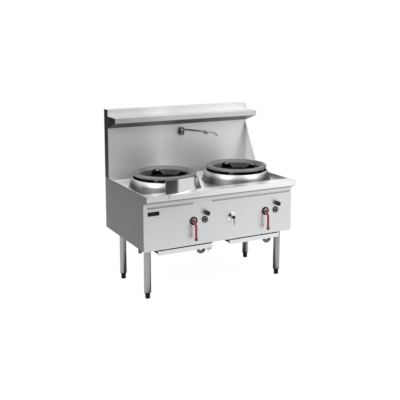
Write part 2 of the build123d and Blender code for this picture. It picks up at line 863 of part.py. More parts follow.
pilot_y = inner_front_y + pilot_outlet_back
pilot_run_z = chamber_bottom - 5 * pilot_tube_radius
pilot_rise_z = chamber_bottom + 2 * pipe_bend
pilot_top = burner_head_top - pilot_tip_radius
with BuildPart() as pilot_burners:
    for side, x in sides.items():
        knob_x = controls_x[side] + knob_offset
        away_x = x + burner_stem_radius + 4 * pilot_tube_radius
        tip_x = x + burner_head_radius + 3 * pilot_tip_radius
        pipe(
            [
                (knob_x, pilot_y, knob_z - pilot_valve_size / 2),
                (knob_x, pilot_y, pilot_run_z),
                (knob_x, burner_y, pilot_run_z),
                (away_x, burner_y, pilot_run_z),
                (away_x, burner_y, pilot_rise_z),
                (tip_x, burner_y, pilot_rise_z),
                (tip_x, burner_y, pilot_top),
            ],
            pilot_tube_radius,
            pipe_bend / 3,
        )
        disc(level(tip_x, burner_y, pilot_top), pilot_tip_radius, 3 * pilot_tip_radius)
save(pilot_burners, "pilot_burners")

# ringed bodies through the panel, each with a spring-loaded push button in it
with BuildPart() as igniters:
    for lever_x in controls_x.values():
        igniter_x = lever_x + igniter_offset
        disc(facing_front(igniter_x, panel_y, igniter_z), igniter_radius, igniter_proud)
        disc(
            facing_front(igniter_x, panel_y + igniter_body_length, igniter_z),
            igniter_body_radius,
            igniter_body_length,
        )
        disc(
            facing_front(igniter_x, panel_y + button_travel + 2 * button_root, igniter_z),
            button_radius + button_bore_gap,
            igniter_proud + button_travel + 2 * button_root,
            Mode.SUBTRACT,
        )
save(igniters, "igniters")

# ---- gas manifold --------------------------------------------------------------------------------
manifold_end_x = controls_x["right"] + knob_offset + 2 * manifold_radius
with BuildPart() as gas_manifold:
    pipe(
        [
            (inlet_x, inlet_y, cabinet_bottom - inlet_length),
            (inlet_x, inlet_y, inlet_jog_z),
            (inlet_x, manifold_y, inlet_jog_z),
            (inlet_x, manifold_y, manifold_z),
            (manifold_end_x, manifold_y, manifold_z),
        ],
        manifold_radius,
        2 * manifold_radius,
    )
    disc(level(inlet_x, inlet_y, cabinet_bottom - inlet_length), inlet_radius, inlet_grip)
    for x in controls_x.values():
        for drop_x, drop_z, radius in (
            (x, lever_z + valve_size / 2, nipple_radius),
            (x + knob_offset, knob_z + pilot_valve_size / 2, pilot_nipple_radius),
        ):
            disc(level(drop_x, manifold_y, drop_z), radius, manifold_z - drop_z)
save(gas_manifold, "gas_manifold")

# ---- splash guard: a bowed sheet that hooks over the apron in front of the left ring ---------------
guard_bottom = rim_top + touch
guard_plan = [(sides["left"] + x, front_y + y) for x, y in (guard_left, guard_middle, guard_right)]
(ax, ay), (bx, by), (cx, cy) = guard_plan
twice_area = 2 * (ax * (by - cy) + bx * (cy - ay) + cx * (ay - by))
a2, b2, c2 = ax * ax + ay * ay, bx * bx + by * by, cx * cx + cy * cy
bow_x = (a2 * (by - cy) + b2 * (cy - ay) + c2 * (ay - by)) / twice_area
bow_y = (a2 * (cx - bx) + b2 * (ax - cx) + c2 * (bx - ax)) / twice_area
bow_radius = ((ax - bow_x) ** 2 + (ay - bow_y) ** 2) ** 0.5


def on_bow(x, radius):
    """The plan point on the guard's bow, or on a circle round the same middle, level with x on the bow."""
    y = bow_y - (bow_radius**2 - (x - bow_x) ** 2) ** 0.5
    return (bow_x + (x - bow_x) * radius / bow_radius, bow_y + (y - bow_y) * radius / bow_radius)


with BuildPart() as splash_guard:
    strip_left, strip_right = ax + guard_strip_start, ax + guard_strip_end
    for start, end, near, far in (
        (ax, cx, bow_radius, bow_radius - guard_gauge),
        (strip_left, strip_right, bow_radius + guard_strip_gauge, bow_radius - guard_gauge / 2),
    ):
        middle = (start + end) / 2
        with BuildSketch(Plane.XY.offset(guard_bottom)):
            with BuildLine():
                ThreePointArc(on_bow(start, near), on_bow(middle, near), on_bow(end, near))
                Line(on_bow(end, near), on_bow(end, far))
                ThreePointArc(on_bow(end, far), on_bow(middle, far), on_bow(start, far))
                Line(on_bow(start, far), on_bow(start, near))
            make_face()
        extrude(amount=guard_height)
    hook_x = sides["left"] + guard_hook_offset
    hook = (hook_x - guard_hook_wide / 2, hook_x + guard_hook_wide / 2)
    hook_front = front_y - guard_hook_gauge
    hook_back = on_bow(hook_x, bow_radius - guard_gauge / 2)[1]
    block((hook[0], hook_front, guard_bottom), (hook[1], hook_back, guard_bottom + guard_hook_gauge))
    block(
        (hook[0], hook_front, rim_top - guard_hook_drop),
        (hook[1], front_y - touch, guard_bottom + guard_hook_gauge),
    )
save(splash_guard, "splash_guard")

# ---- water: tap, pipes and swing faucet ----------------------------------------------------------
with BuildPart() as tap_escutcheon:
    with BuildSketch(Plane(origin=(tap_x, panel_y, tap_z), x_dir=(1, 0, 0), z_dir=(0, 0, 1))):
        with BuildLine():
            Line((tap_bonnet_radius + spigot_fit, 0), (escutcheon_radius, 0))
            Line((escutcheon_radius, 0), (escutcheon_radius, -escutcheon_edge))
            ThreePointArc(
                (escutcheon_radius, -escutcheon_edge),
                (escutcheon_radius * 0.72, -escutcheon_dome * 0.8),
                (tap_bonnet_radius + spigot_fit, -escutcheon_dome),
            )
            Line((tap_bonnet_radius + spigot_fit, -escutcheon_dome), (tap_bonnet_radius + spigot_fit, 0))
        make_face()
    revolve(axis=Axis((tap_x, panel_y, tap_z), (0, 1, 0)))
save(tap_escutcheon, "tap_escutcheon")

with BuildPart() as tap_valve:
    block(
        (tap_x - tap_body_size / 2, inner_front_y, tap_z - tap_body_size / 2),
        (tap_x + tap_body_size / 2, inner_front_y + tap_body_length, tap_z + tap_body_size / 2),
    )
    disc(facing_front(tap_x, inner_front_y, tap_z), tap_bonnet_radius, sheet + tap_bonnet_proud)
    disc(
        facing_front(tap_x, panel_y - tap_bonnet_proud, tap_z),
        tap_stem_radius,
        touch + tap_hub_length - tap_hub_cap - stem_end_gap,
    )
save(tap_valve, "tap_valve")

tap_hub_y = panel_y - tap_bonnet_proud - touch
tap_lever_y = tap_hub_y - tap_hub_length * 0.42
with BuildPart() as tap_lever:
    disc(facing_front(tap_x, tap_hub_y, tap_z), tap_hub_radius, tap_hub_length)
    fillet(tap_lever.faces().sort_by(Axis.Y)[0].edges(), tap_hub_round)
    pipe(
        [
            (tap_x + tap_lever_lean / 8, tap_lever_y, tap_z - tap_hub_radius * 0.7),
            (tap_x + tap_lever_lean, tap_lever_y, tap_z - tap_lever_length),
        ],
        tap_lever_radius,
        0,
    )
    bore_depth = tap_hub_length - tap_hub_cap
    disc(facing_front(tap_x, tap_hub_y, tap_z), tap_stem_radius + running, bore_depth, Mode.SUBTRACT)
save(tap_lever, "tap_lever")

with BuildPart() as water_inlet_pipe:
    disc(
        level(water_stub_x, water_stub_y, cabinet_bottom - water_stub_length),
        water_stub_radius,
        water_stub_grip,
    )
    pipe(
        [
            (water_stub_x, water_stub_y, cabinet_bottom - water_stub_length),
            (water_stub_x, water_stub_y, water_run_z),
            (water_stub_x, water_run_y, water_run_z),
            (tap_x, water_run_y, water_run_z),
            (tap_x, water_run_y, tap_z - tap_body_size / 2),
        ],
        water_pipe_radius,
        pipe_bend,
    )
save(water_inlet_pipe, "water_inlet_pipe")

with BuildPart() as water_riser:
    pipe(
        [
            (tap_x, water_run_y, tap_z + tap_body_size / 2),
            (tap_x, water_run_y, water_rise_z),
            (faucet_x, water_run_y, water_rise_z),
            (faucet_x, faucet_pipe_y, water_rise_z),
            (faucet_x, faucet_pipe_y, faucet_feed_z + 2 * faucet_spindle_radius),
        ],
        water_pipe_radius,
        pipe_bend,
    )
save(water_riser, "water_riser")

faucet_low = faucet_z - faucet_collar_height / 2
with BuildPart() as faucet_body:
    disc(facing_front(faucet_x, splash_y, faucet_feed_z), faucet_flange_radius, faucet_flange_thick)
    disc(
        facing_front(faucet_x, faucet_pipe_y - water_pipe_radius - spigot_fit, faucet_feed_z),
        faucet_spindle_radius,
        faucet_pipe_y - water_pipe_radius - spigot_fit - splash_y,
    )
    disc(facing_front(faucet_x, splash_y, faucet_feed_z), faucet_spur_radius, faucet_reach)
    disc(
        level(faucet_x, faucet_pivot_y, faucet_low - touch - faucet_body_drop),
        faucet_body_radius,
        faucet_body_drop,
    )
    disc(
        level(faucet_x, faucet_pivot_y, faucet_low - touch),
        faucet_spindle_radius,
        faucet_collar_height + 2 * touch,
    )
    disc(
        level(faucet_x, faucet_pivot_y, faucet_low + faucet_collar_height + touch),
        faucet_cap_radius,
        faucet_cap_height,
    )
save(faucet_body, "faucet_body")

with BuildPart() as faucet_arm_inner:
    disc(level(faucet_x, faucet_pivot_y, faucet_low), faucet_collar_radius, faucet_collar_height)
    pipe(
        [(faucet_x, faucet_pivot_y, faucet_z), (faucet_elbow_x, faucet_elbow_y, faucet_z)],
        faucet_inner_radius,
        0,
    )
    disc(level(faucet_elbow_x, faucet_elbow_y, faucet_low), elbow_radius, faucet_collar_height)
    disc(
        level(faucet_x, faucet_pivot_y, faucet_low),
        faucet_spindle_radius + running,
        faucet_collar_height,
        Mode.SUBTRACT,
    )
    disc(
        level(faucet_elbow_x, faucet_elbow_y, faucet_low),
        elbow_pin_radius + running,
        faucet_collar_height,
        Mode.SUBTRACT,
    )
save(faucet_arm_inner, "faucet_arm_inner")

with BuildPart() as faucet_arm_outer:
    boss_top = faucet_low - touch
    boss_bottom = faucet_outer_z - faucet_outer_radius - elbow_foot
    disc(level(faucet_elbow_x, faucet_elbow_y, boss_bottom), elbow_radius, boss_top - boss_bottom)
    disc(level(faucet_elbow_x, faucet_elbow_y, boss_top), elbow_pin_radius, faucet_collar_height + 2 * touch)
    disc(
        level(faucet_elbow_x, faucet_elbow_y, faucet_low + faucet_collar_height + touch),
        elbow_radius,
        faucet_cap_height / 2,
    )
    arm_steps = (
        (0, faucet_outer_z),
        (faucet_foot_reach, faucet_outer_z),
        (faucet_step_reach, faucet_z),
        (faucet_outer_reach, faucet_z),
    )
    pipe(
        [
            (
                faucet_elbow_x + reach * cos(radians(faucet_outer_angle)),
                faucet_elbow_y + reach * sin(radians(faucet_outer_angle)),
                z,
            )
            for reach, z in arm_steps
        ],
        faucet_outer_radius,
        faucet_bend,
    )
    nozzle_x = faucet_elbow_x + faucet_outer_reach * cos(radians(faucet_outer_angle))
    nozzle_y = faucet_elbow_y + faucet_outer_reach * sin(radians(faucet_outer_angle))
    with Locations((nozzle_x, nozzle_y, faucet_z)):
        Sphere(nozzle_radius)
    disc(level(nozzle_x, nozzle_y, faucet_z - nozzle_drop), nozzle_radius, nozzle_drop)
    disc(
        level(nozzle_x, nozzle_y, faucet_z - nozzle_drop),
        nozzle_radius - nozzle_wall,
        nozzle_drop / 2,
        Mode.SUBTRACT,
    )
save(faucet_arm_outer, "faucet_arm_outer")

# ---- drip trays, runners, drains -----------------------------------------------------------------
tray_back_y = panel_y + tray_depth
for side, sign in (("left", -1), ("right", 1)):
    low_x, high_x = sorted((sign * tray_inner_x, sign * tray_outer_x))
    with BuildPart() as drip_tray:
        block((low_x + tray_flange, panel_y, tray_bottom), (high_x - tray_flange, tray_back_y, tray_wall_top))
        block(
            (low_x, panel_y + tray_hem, tray_wall_top - tray_gauge),
            (high_x, tray_back_y, tray_wall_top),
        )
        block(
            (low_x + tray_flange + tray_gauge, panel_y + tray_gauge, tray_bottom + tray_gauge),
            (high_x - tray_flange - tray_gauge, tray_back_y - tray_gauge, tray_wall_top),
            Mode.SUBTRACT,
        )
        block((low_x, panel_y, tray_front_top), (high_x, panel_y + tray_hem, tray_wall_top), Mode.SUBTRACT)
        block(
            (low_x, panel_y, tray_bottom - tray_front_skirt),
            (high_x, panel_y + tray_gauge, tray_front_top),
        )
        block((low_x, panel_y, tray_front_top - tray_gauge), (high_x, panel_y + tray_hem, tray_front_top))
    save(drip_tray, f"drip_tray_{side}")

    middle_x = trap_x[side]
    bend_z = tray_bottom - trap_bend_drop
    with BuildPart() as drain_trap:
        with BuildSketch(level(middle_x + trap_spacing / 2, trap_y, bend_z)):
            Circle(trap_pipe_radius)
        revolve(axis=Axis((middle_x, trap_y, bend_z), (0, 1, 0)), revolution_arc=180)
        for end in (-1, 1):
            disc(level(middle_x + end * trap_spacing / 2, trap_y, bend_z), trap_pipe_radius, trap_bend_drop)
        with BuildSketch(level(middle_x, trap_y, tray_bottom - trap_head_height)):
            SlotCenterToCenter(trap_spacing, 2 * trap_pipe_radius)
        extrude(amount=trap_head_height)
        outlet = Plane(
            origin=(middle_x + trap_spacing / 2, trap_y, bend_z),
            x_dir=(1, 0, 0),
            z_dir=(0, 1, 0),
        )
        disc(outlet, trap_neck_radius, trap_outlet_length)
        disc(outlet.offset(trap_outlet_length - trap_outlet_grip), trap_outlet_radius, trap_outlet_grip)
        disc(
            outlet.offset(trap_outlet_length - trap_outlet_bore_depth),
            trap_outlet_bore,
            trap_outlet_bore_depth,
            Mode.SUBTRACT,
        )
        disc(
            level(middle_x - trap_spacing / 2, trap_y, tray_bottom - trap_flange_thick),
            trap_flange_radius,
            trap_flange_thick,
        )
    save(drain_trap, f"drain_trap_{side}")

with BuildPart() as tray_runners:
    foot_top = tray_wall_top - tray_gauge - touch
    for sign in (-1, 1):
        for edge, out in ((tray_outer_x, 1), (tray_inner_x, -1)):
            web_gap = runner_gap + runner_gauge
            web = sorted((sign * (edge + out * runner_gap), sign * (edge + out * web_gap)))
            foot_end = sign * (edge - out * (runner_foot - runner_gap))
            block((web[0], inner_front_y, foot_top - runner_gauge), (web[1], tray_back_y, frame_bottom))
            foot_x = sorted((foot_end, web[0] if sign * out > 0 else web[1]))
            block((foot_x[0], inner_front_y, foot_top - runner_gauge), (foot_x[1], tray_back_y, foot_top))
save(tray_runners, "tray_runners")

cock_mid_z = cock_bottom + (tray_bottom - cock_bottom) / 2
with BuildPart() as drain_cock:
    disc(level(cock_x, cock_y, cock_bottom), cock_pipe_radius, tray_bottom - cock_bottom)
    disc(level(cock_x, cock_y, cock_mid_z - cock_body_height / 2), cock_body_radius, cock_body_height)
    disc(facing_right(cock_x, cock_y, cock_mid_z), cock_stem_radius, cock_body_radius + cock_stem_reach)
save(drain_cock, "drain_cock")

with BuildPart() as cock_handle:
    handle_x = cock_x + cock_body_radius + cock_lever_gap
    block(
        (handle_x, cock_y - cock_lever_length * 0.8, cock_mid_z - cock_lever_wide / 2),
        (handle_x + cock_lever_thick, cock_y + cock_lever_wide / 2, cock_mid_z + cock_lever_wide / 2),
    )
    disc(
        facing_right(handle_x, cock_y, cock_mid_z),
        cock_stem_radius + running,
        cock_lever_thick,
        Mode.SUBTRACT,
    )
save(cock_handle, "cock_handle")

# ---- name plate (left blank) and screws ----------------------------------------------------------
with BuildPart() as name_plate:
    with BuildSketch(facing_front(plate_x, panel_y, plate_z)):
        RectangleRounded(plate_wide, plate_tall, plate_round)
    extrude(amount=plate_thick)
save(name_plate, "name_plate")

screw_x = half_width - screw_inset
screw_places = [(-screw_x, screw_height), (screw_x, screw_height), apron_screw]
with BuildPart() as panel_screws:
    for x, z in screw_places:
        disc(facing_front(x, panel_y, z), screw_head_radius, screw_head_thick)
        disc(facing_front(x, panel_y + screw_length, z), screw_shank_radius, screw_length)
save(panel_screws, "panel_screws")
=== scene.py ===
from math import asin, cos, degrees, pi, radians, sin, tan

import bmesh
import bpy
from bpy.props import FloatProperty, FloatVectorProperty, PointerProperty
from mathutils import Matrix, Vector


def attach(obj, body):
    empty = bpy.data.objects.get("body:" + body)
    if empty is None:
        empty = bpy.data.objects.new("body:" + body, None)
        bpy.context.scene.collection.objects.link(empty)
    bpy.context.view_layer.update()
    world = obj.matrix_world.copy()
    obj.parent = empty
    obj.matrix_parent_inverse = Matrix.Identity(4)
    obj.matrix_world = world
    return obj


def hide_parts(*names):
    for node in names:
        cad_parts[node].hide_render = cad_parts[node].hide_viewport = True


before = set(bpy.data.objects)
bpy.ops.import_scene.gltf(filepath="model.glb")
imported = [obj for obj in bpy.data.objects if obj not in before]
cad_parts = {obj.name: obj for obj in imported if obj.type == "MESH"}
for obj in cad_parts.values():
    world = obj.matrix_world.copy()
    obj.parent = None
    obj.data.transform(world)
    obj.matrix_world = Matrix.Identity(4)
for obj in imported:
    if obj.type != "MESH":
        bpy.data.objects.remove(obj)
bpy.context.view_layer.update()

bl_info = {
    "name": "Wok range dressing",
    "version": (1, 0, 0),
    "blender": (4, 5, 0),
    "location": "3D View > Sidebar > Wok range",
    "description": "Dresses the packed wok range with its detailed pieces, finishes and studio",
    "category": "Object",
}

MM = 0.001
SHEET_WIDTH = 1.2  # metres, of the splashback and the shelf
SHARP = radians(32)  # an edge that turns by more than this stays sharp
FLAT = radians(0.6)  # CAD faces that turn by less than this are one flat face
FINISHES = {}  # material by finish name, filled by the first operator


def colour(name, note, default):
    """A colour that a user may change."""
    return FloatVectorProperty(name=name, description=note, default=default, subtype="COLOR",
                               size=3, min=0, max=1)


def length(name, note, default):
    """A size that a user may change, in metres."""
    return FloatProperty(name=name, description=note, default=default, unit="LENGTH", min=0)


class RangeSizes(bpy.types.PropertyGroup):
    """Small sizes that only the dressed model has."""

    sheet_edge: length("Sheet edge", "Radius of the folds and edges of the sheet steel", 0.0007)
    casting_edge: length("Casting edge", "Radius along the edges of the wok rings", 0.0022)
    pipe_edge: length("Pipe edge", "Radius along the edges of pipes and small turned parts", 0.0005)


class RangeColours(bpy.types.PropertyGroup):
    """Main colours, as linear values."""

    panel: colour("Panel steel", "Satin steel of the front, back, shelf and legs", (0.60, 0.605, 0.61))
    # painted shade: the side steel is the panel steel darkened to about a fifth
    side: colour("Side steel", "Satin steel of the two side panels", (0.128, 0.130, 0.133))
    deck: colour("Deck steel", "Steel of the deck", (0.93, 0.93, 0.93))
    iron: colour("Ring iron", "Cast iron of the wok rings", (0.23, 0.231, 0.235))
    enamel: colour("Lever enamel", "Enamel of the levers", (0.22, 0.007, 0.010))
    plastic: colour("Black plastic", "Knobs, feet and bezels", (0.012, 0.012, 0.013))


# ---- shader expressions ----
def operation(kind, swapped=False):
    """A method of Wire that adds one Math node; swapped makes the reflected form."""
    def method(self, *others):
        values = (self, *others)[::-1] if swapped else (self, *others)
        return self.board.add("ShaderNodeMath", {"operation": kind}, dict(enumerate(values)))
    return method


class Wire:
    """A shader socket that can be written in an expression; each operation adds a Math node."""

    __add__, __radd__ = operation("ADD"), operation("ADD", swapped=True)
    __sub__, __rsub__ = operation("SUBTRACT"), operation("SUBTRACT", swapped=True)
    __mul__, __rmul__ = operation("MULTIPLY"), operation("MULTIPLY", swapped=True)
    __truediv__, __rtruediv__ = operation("DIVIDE"), operation("DIVIDE", swapped=True)
    root, sign, most = map(operation, ("SQRT", "SIGN", "MAXIMUM"))

    def __init__(self, board, socket):
        self.board, self.socket = board, socket


class Board:
    """The nodes of one material, or of a world."""

    def __init__(self, name, kind="materials"):
        self.name, self.item = name, getattr(bpy.data, kind).new(name)
        self.item.use_nodes = True
        self.tree = self.item.node_tree
        self.tree.nodes.clear()
        self.place = self.add("ShaderNodeTexCoord", output="Object")

    def add(self, kind, settings=None, values=None, output=0):
        """Adds a node: its settings first, then its sockets, as numbers, colours or wires."""
        node = self.tree.nodes.new(kind)
        for name, value in (settings or {}).items():
            if name == "stops":
                stops = node.color_ramp.elements
                while len(stops) < len(value):
                    stops.new(0.5)
                for stop, (position, grey) in zip(stops, value):
                    stop.position, stop.color = position, (grey, grey, grey, 1)
            else:
                setattr(node, name, value)
        for key, value in (values or {}).items():
            socket = node.inputs[key]
            if isinstance(value, Wire):
                self.tree.links.new(value.socket, socket)
            elif socket.type == "RGBA":
                socket.default_value = (*value[:3], 1)
            else:
                socket.default_value = value
        return Wire(self, node.outputs[output]) if len(node.outputs) else None

    def noise(self, scale, detail=3.0, rough=0.55, place=None):
        """Noise from 0 to 1; scale is waves a metre, the same all round or along each axis."""
        scale = scale if isinstance(scale, tuple) else (scale,) * 3
        places = {0: place or self.place, 1: scale}
        scaled = self.add("ShaderNodeVectorMath", {"operation": "MULTIPLY"}, places)
        values = {"Vector": scaled, "Scale": 1.0, "Detail": detail, "Roughness": rough}
        return self.add("ShaderNodeTexNoise", {"noise_dimensions": "3D"}, values)

    def ramp(self, value, *stops):
        """A value through straight-line stops, each a place and a shade."""
        return self.add("ShaderNodeValToRGB", {"stops": stops}, {0: value})

    def rise(self, value, low, high, top=1.0):
        """0 up to low, and top from high on."""
        return self.ramp(value, (low, 0.0), (high, top))

    def blend(self, share, first, second):
        """first where share is 0 and second where it is 1, as colours."""
        settings = {"data_type": "RGBA", "blend_type": "MIX", "clamp_factor": True}
        return self.add("ShaderNodeMix", settings, {0: share, 6: first, 7: second}, output=2)

    def axis(self, letter, place=None):
        """One part of a place or direction."""
        return self.add("ShaderNodeSeparateXYZ", values={0: place or self.place}, output=letter)

    def join(self, x, y, z):
        """A place from its three parts."""
        return self.add("ShaderNodeCombineXYZ", values={0: x, 1: y, 2: z})

    def facing(self):
        """The direction that the surface faces."""
        return self.add("ShaderNodeNewGeometry", output="Normal")

    def bump(self, height, strength, distance):
        """A direction that fine relief turns; distance is its depth in metres."""
        values = {"Height": height, "Strength": strength, "Distance": distance}
        return self.add("ShaderNodeBump", values=values)

    def finish(self, base, rough, metal=0.0, normal=None, **constants):
        """Ends the board in one Principled shader, with the constants set on its own sockets, and files
        it under its name."""
        values = {"Base Color": base, "Roughness": rough, "Metallic": metal}
        if normal is not None:
            values["Normal"] = normal
        values.update({name.replace("_", " "): value for name, value in constants.items()})
        shader = self.add("ShaderNodeBsdfPrincipled", values=values)
        self.add("ShaderNodeOutputMaterial", values={"Surface": shader})
        FINISHES[self.name] = self.item


def shade(tone, factor):
    """A colour made lighter or darker."""
    return tuple(min(1.0, c * factor) for c in tone)


# waves a metre along each axis, few along the grain
GRAIN_ALONG = {"x": (9, 1900, 1900), "y": (1900, 9, 1900), "z": (1900, 1900, 9)}
# heights in metres where the shade under the apron's lip starts and where it is full
LIP_SHADE = (0.7020, 0.7095)
# place from the sheet's left end to its right, and how much painted shade dulls it there; the two
# places at 0 stay as painted upright streaks of bright reflection
PAINTED_REFLECTION_BANDS = ((0.0, 0.8), (0.22, 0.85), (0.36, 0.0), (0.46, 0.7), (0.60, 0.6), (0.85, 0.0))


def satin_steel(name, tone, rough, grain, metal=1.0, ends=0.0, under=0.0, apron_shade=0.0, band=0.0):
    """Brushed sheet: fine grain along one axis, broad cloudy smears and a few wipe marks. Ends and under
    paint shade on the faces that look left and down, apron_shade paints the shade on the strip under the
    apron's lip, and band paints reflection: it dulls all but two upright bright streaks, one left of the
    middle and one at the right end."""
    board = Board(name)
    grain_scale = GRAIN_ALONG[grain]
    fine = board.noise(grain_scale, detail=2.0)
    streaks = board.noise(tuple(v * 0.04 for v in grain_scale), detail=2.0)
    cloud = board.noise((3.1, 3.7, 2.9), detail=4.0, rough=0.6)
    wipe = board.noise((11, 7, 23), detail=5.0, rough=0.65)
    spots = board.rise(board.noise(60, detail=2.0), 0.60, 0.72)
    mixed = cloud * 0.6 + streaks * 0.1 + wipe * 0.3
    base = board.blend(mixed, shade(tone, 0.93), shade(tone, 1.07))
    base = board.blend(spots * 0.10, base, shade(tone, 0.7))
    # painted reflection: all but two upright bright streaks are dulled
    if band:
        along = (board.axis("X") + (cloud - 0.5) * 0.03) / SHEET_WIDTH + 0.5
        base = board.blend(board.ramp(along, *PAINTED_REFLECTION_BANDS) * band, base, shade(tone, 0.5))
    # painted shade: faces that look left and faces that look down are darkened
    for letter, share, dark in (("X", ends, 0.04), ("Z", under, 0.1)):
        if share:
            away = board.rise(board.axis(letter, board.facing()) * -1.0, 0.5, 0.9, share)
            base = board.blend(away, base, shade(tone, dark))
    # painted shade on the strip under the apron's lip
    if apron_shade:
        base = board.blend(board.rise(board.axis("Z"), *LIP_SHADE, apron_shade), base, shade(tone, 0.12))
    roughness = (mixed - 0.5) * 0.22 + (fine - 0.5) * 0.08 + rough
    board.finish(base, roughness, metal, board.bump(fine, 0.04, 0.0001))


def spun_steel(name, tone, rough):
    """Steel spun on a lathe: fine rings round each burner, painted shade and dark reflection towards the
    foot, and sooty inside, where a face is near the burner's axis or looks towards it."""
    board = Board(name)
    cloud = board.noise((7, 7, 11), detail=4.0)
    across, height = board.axis("X"), board.axis("Z")
    side_x = across - across.sign() * (BURNER_X["right"] * MM)
    side_y = board.axis("Y") - BURNER_Y * MM
    reach = (side_x * side_x + side_y * side_y).root()
    rings = board.noise((900, 900, 0), detail=2.0, place=board.join(reach, height, 0.0))
    outward = side_x * board.axis("X", board.facing()) + side_y * board.axis("Y", board.facing())
    near = board.ramp(reach, (CURL_INSIDE[0], 1.0), (CURL_INSIDE[1], 0.0))
    inside = near.most(board.ramp(outward + 0.5, (0.46, 1.0), (0.49, 0.0)))
    # painted shade and reflection: darker towards the foot
    low = board.ramp(height + (cloud - 0.5) * 0.004, *zip(PAINTED_FOOT_SHADE, (1.0, 0.9, 0.0)))
    base = board.blend(cloud, shade(tone, 0.92), shade(tone, 1.06))
    base = board.blend(low * 0.85, base, shade(tone, 0.16))
    base = board.blend(inside, base, (0.012, 0.011, 0.011))
    roughness = (cloud - 0.5) * 0.08 + (rings - 0.5) * 0.06 + rough + inside * 0.5
    board.finish(base, roughness, 1 - inside * 0.8, board.bump(rings, 0.08, 0.0002))


def cast_iron(name, tone, rough, worn, grit=1.0, soot_and_shade=0.0):
    """Sand-cast iron: a grainy skin, mottled with stains, and given the worn colour in patches on upward
    faces, partly rubbed wear and partly painted light and shade. soot_and_shade blackens what stands below a
    wok ring's rim, partly soot and partly painted shade."""
    board = Board(name)
    skin = board.noise(420, detail=4.0, rough=0.7)
    lumps = board.noise(45, detail=3.0)
    stain = board.noise(9, detail=4.0)
    # partly rubbed wear, partly painted light and shade: upward faces take the worn colour in patches
    top = board.rise(board.axis("Z", board.facing()), 0.72, 0.98)
    base = board.blend(stain * 0.6 + skin * 0.4, shade(tone, 0.72), shade(tone, 1.25))
    base = board.blend(top * board.ramp(lumps, (0.35, 0.5), (0.6, 1.0)), base, worn)
    # partly soot, partly painted shade: what stands below the rim is blackened
    if soot_and_shade:
        below = board.ramp(board.axis("Z"), ((RING_UNDER - 1) * MM, soot_and_shade), ((RING_UNDER + 1) * MM, 0.0))
        base = board.blend(below, base, shade(tone, 0.1))
    roughness = (skin - 0.5) * 0.25 + (stain - 0.5) * 0.16 + rough
    normal = board.bump(skin * 0.6 + lumps * 0.4, 0.35 * grit, 0.0012)
    board.finish(base, roughness, 0.4, normal)


def plated(name, tone, rough, spotty=1.0):
    """Chrome or polished plate, with water spots and faint rubbing."""
    board = Board(name)
    spots = board.rise(board.noise(95, detail=2.0), 0.58, 0.70, spotty)
    cloud = board.noise(30, detail=4.0)
    base = board.blend(spots * 0.35 + cloud * 0.2, tone, shade(tone, 0.72))
    roughness = spots * 0.14 + (cloud - 0.5) * 0.05 + rough
    board.finish(base, roughness, 1.0, board.bump(cloud, 0.03, 0.0003))


def enamel(name, tone):
    """Gloss enamel with a slight orange-peel skin and small dark chips."""
    board = Board(name)
    peel = board.noise(320, detail=2.0)
    cloud = board.noise(40, detail=4.0)
    chips = board.rise(board.noise(150, detail=3.0, rough=0.7), 0.66, 0.70)
    base = board.blend(cloud, shade(tone, 0.78), shade(tone, 1.25))
    base = board.blend(chips * 0.7, base, (0.05, 0.03, 0.03))
    roughness = (cloud - 0.5) * 0.15 + chips * 0.3 + 0.30
    normal = board.bump(peel * 0.5 + (1 - chips) * 0.5, 0.12, 0.0004)
    board.finish(base, roughness, 0.0, normal,
                 Coat_Weight=0.25, Coat_Roughness=0.15, Specular_IOR_Level=0.3)


def moulded(name, tone, rough, dusty=1.0):
    """Moulded plastic: fine spark-eroded grain, with greyer dust and scuffs."""
    board = Board(name)
    grain = board.noise(900, detail=2.0)
    dust = board.noise(55, detail=5.0, rough=0.65)
    scuff = board.rise(dust, 0.52, 0.74)
    base = board.blend(scuff * 0.5 * dusty, tone, (0.055, 0.055, 0.055))
    roughness = (dust - 0.5) * 0.2 + rough
    board.finish(base, roughness, 0.0, board.bump(grain, 0.14, 0.0003), Specular_IOR_Level=0.25)


def pipe_metal(name, tone, worn, rough, metal):
    """Pipe, valve or angle stock: mottled metal, rubbed to the worn colour in patches."""
    board = Board(name)
    mottle = board.noise(70, detail=5.0, rough=0.7)
    large = board.noise(14, detail=3.0)
    skin = board.noise(600, detail=2.0)
    rubbed = board.rise(mottle * 0.5 + large * 0.5, 0.45, 0.66)
    base = board.blend(rubbed, tone, worn)
    roughness = (mottle - 0.5) * 0.25 + rough
    board.finish(base, roughness, metal, board.bump(skin * 0.5 + mottle * 0.5, 0.16, 0.0005))


def burnt_iron(name):
    """The fire side: soot black, with rusty and ashy patches where the flame licks."""
    board = Board(name)
    scale = board.noise(120, detail=5.0, rough=0.75)
    patch = board.noise((18, 18, 12), detail=4.0)
    base = board.blend(board.rise(patch, 0.48, 0.68), (0.010, 0.010, 0.010), (0.045, 0.028, 0.020))
    base = board.blend(board.rise(scale, 0.60, 0.75, 0.6), base, (0.07, 0.07, 0.072))
    board.finish(base, (scale - 0.5) * 0.2 + 0.82, 0.2, board.bump(scale, 0.5, 0.002))


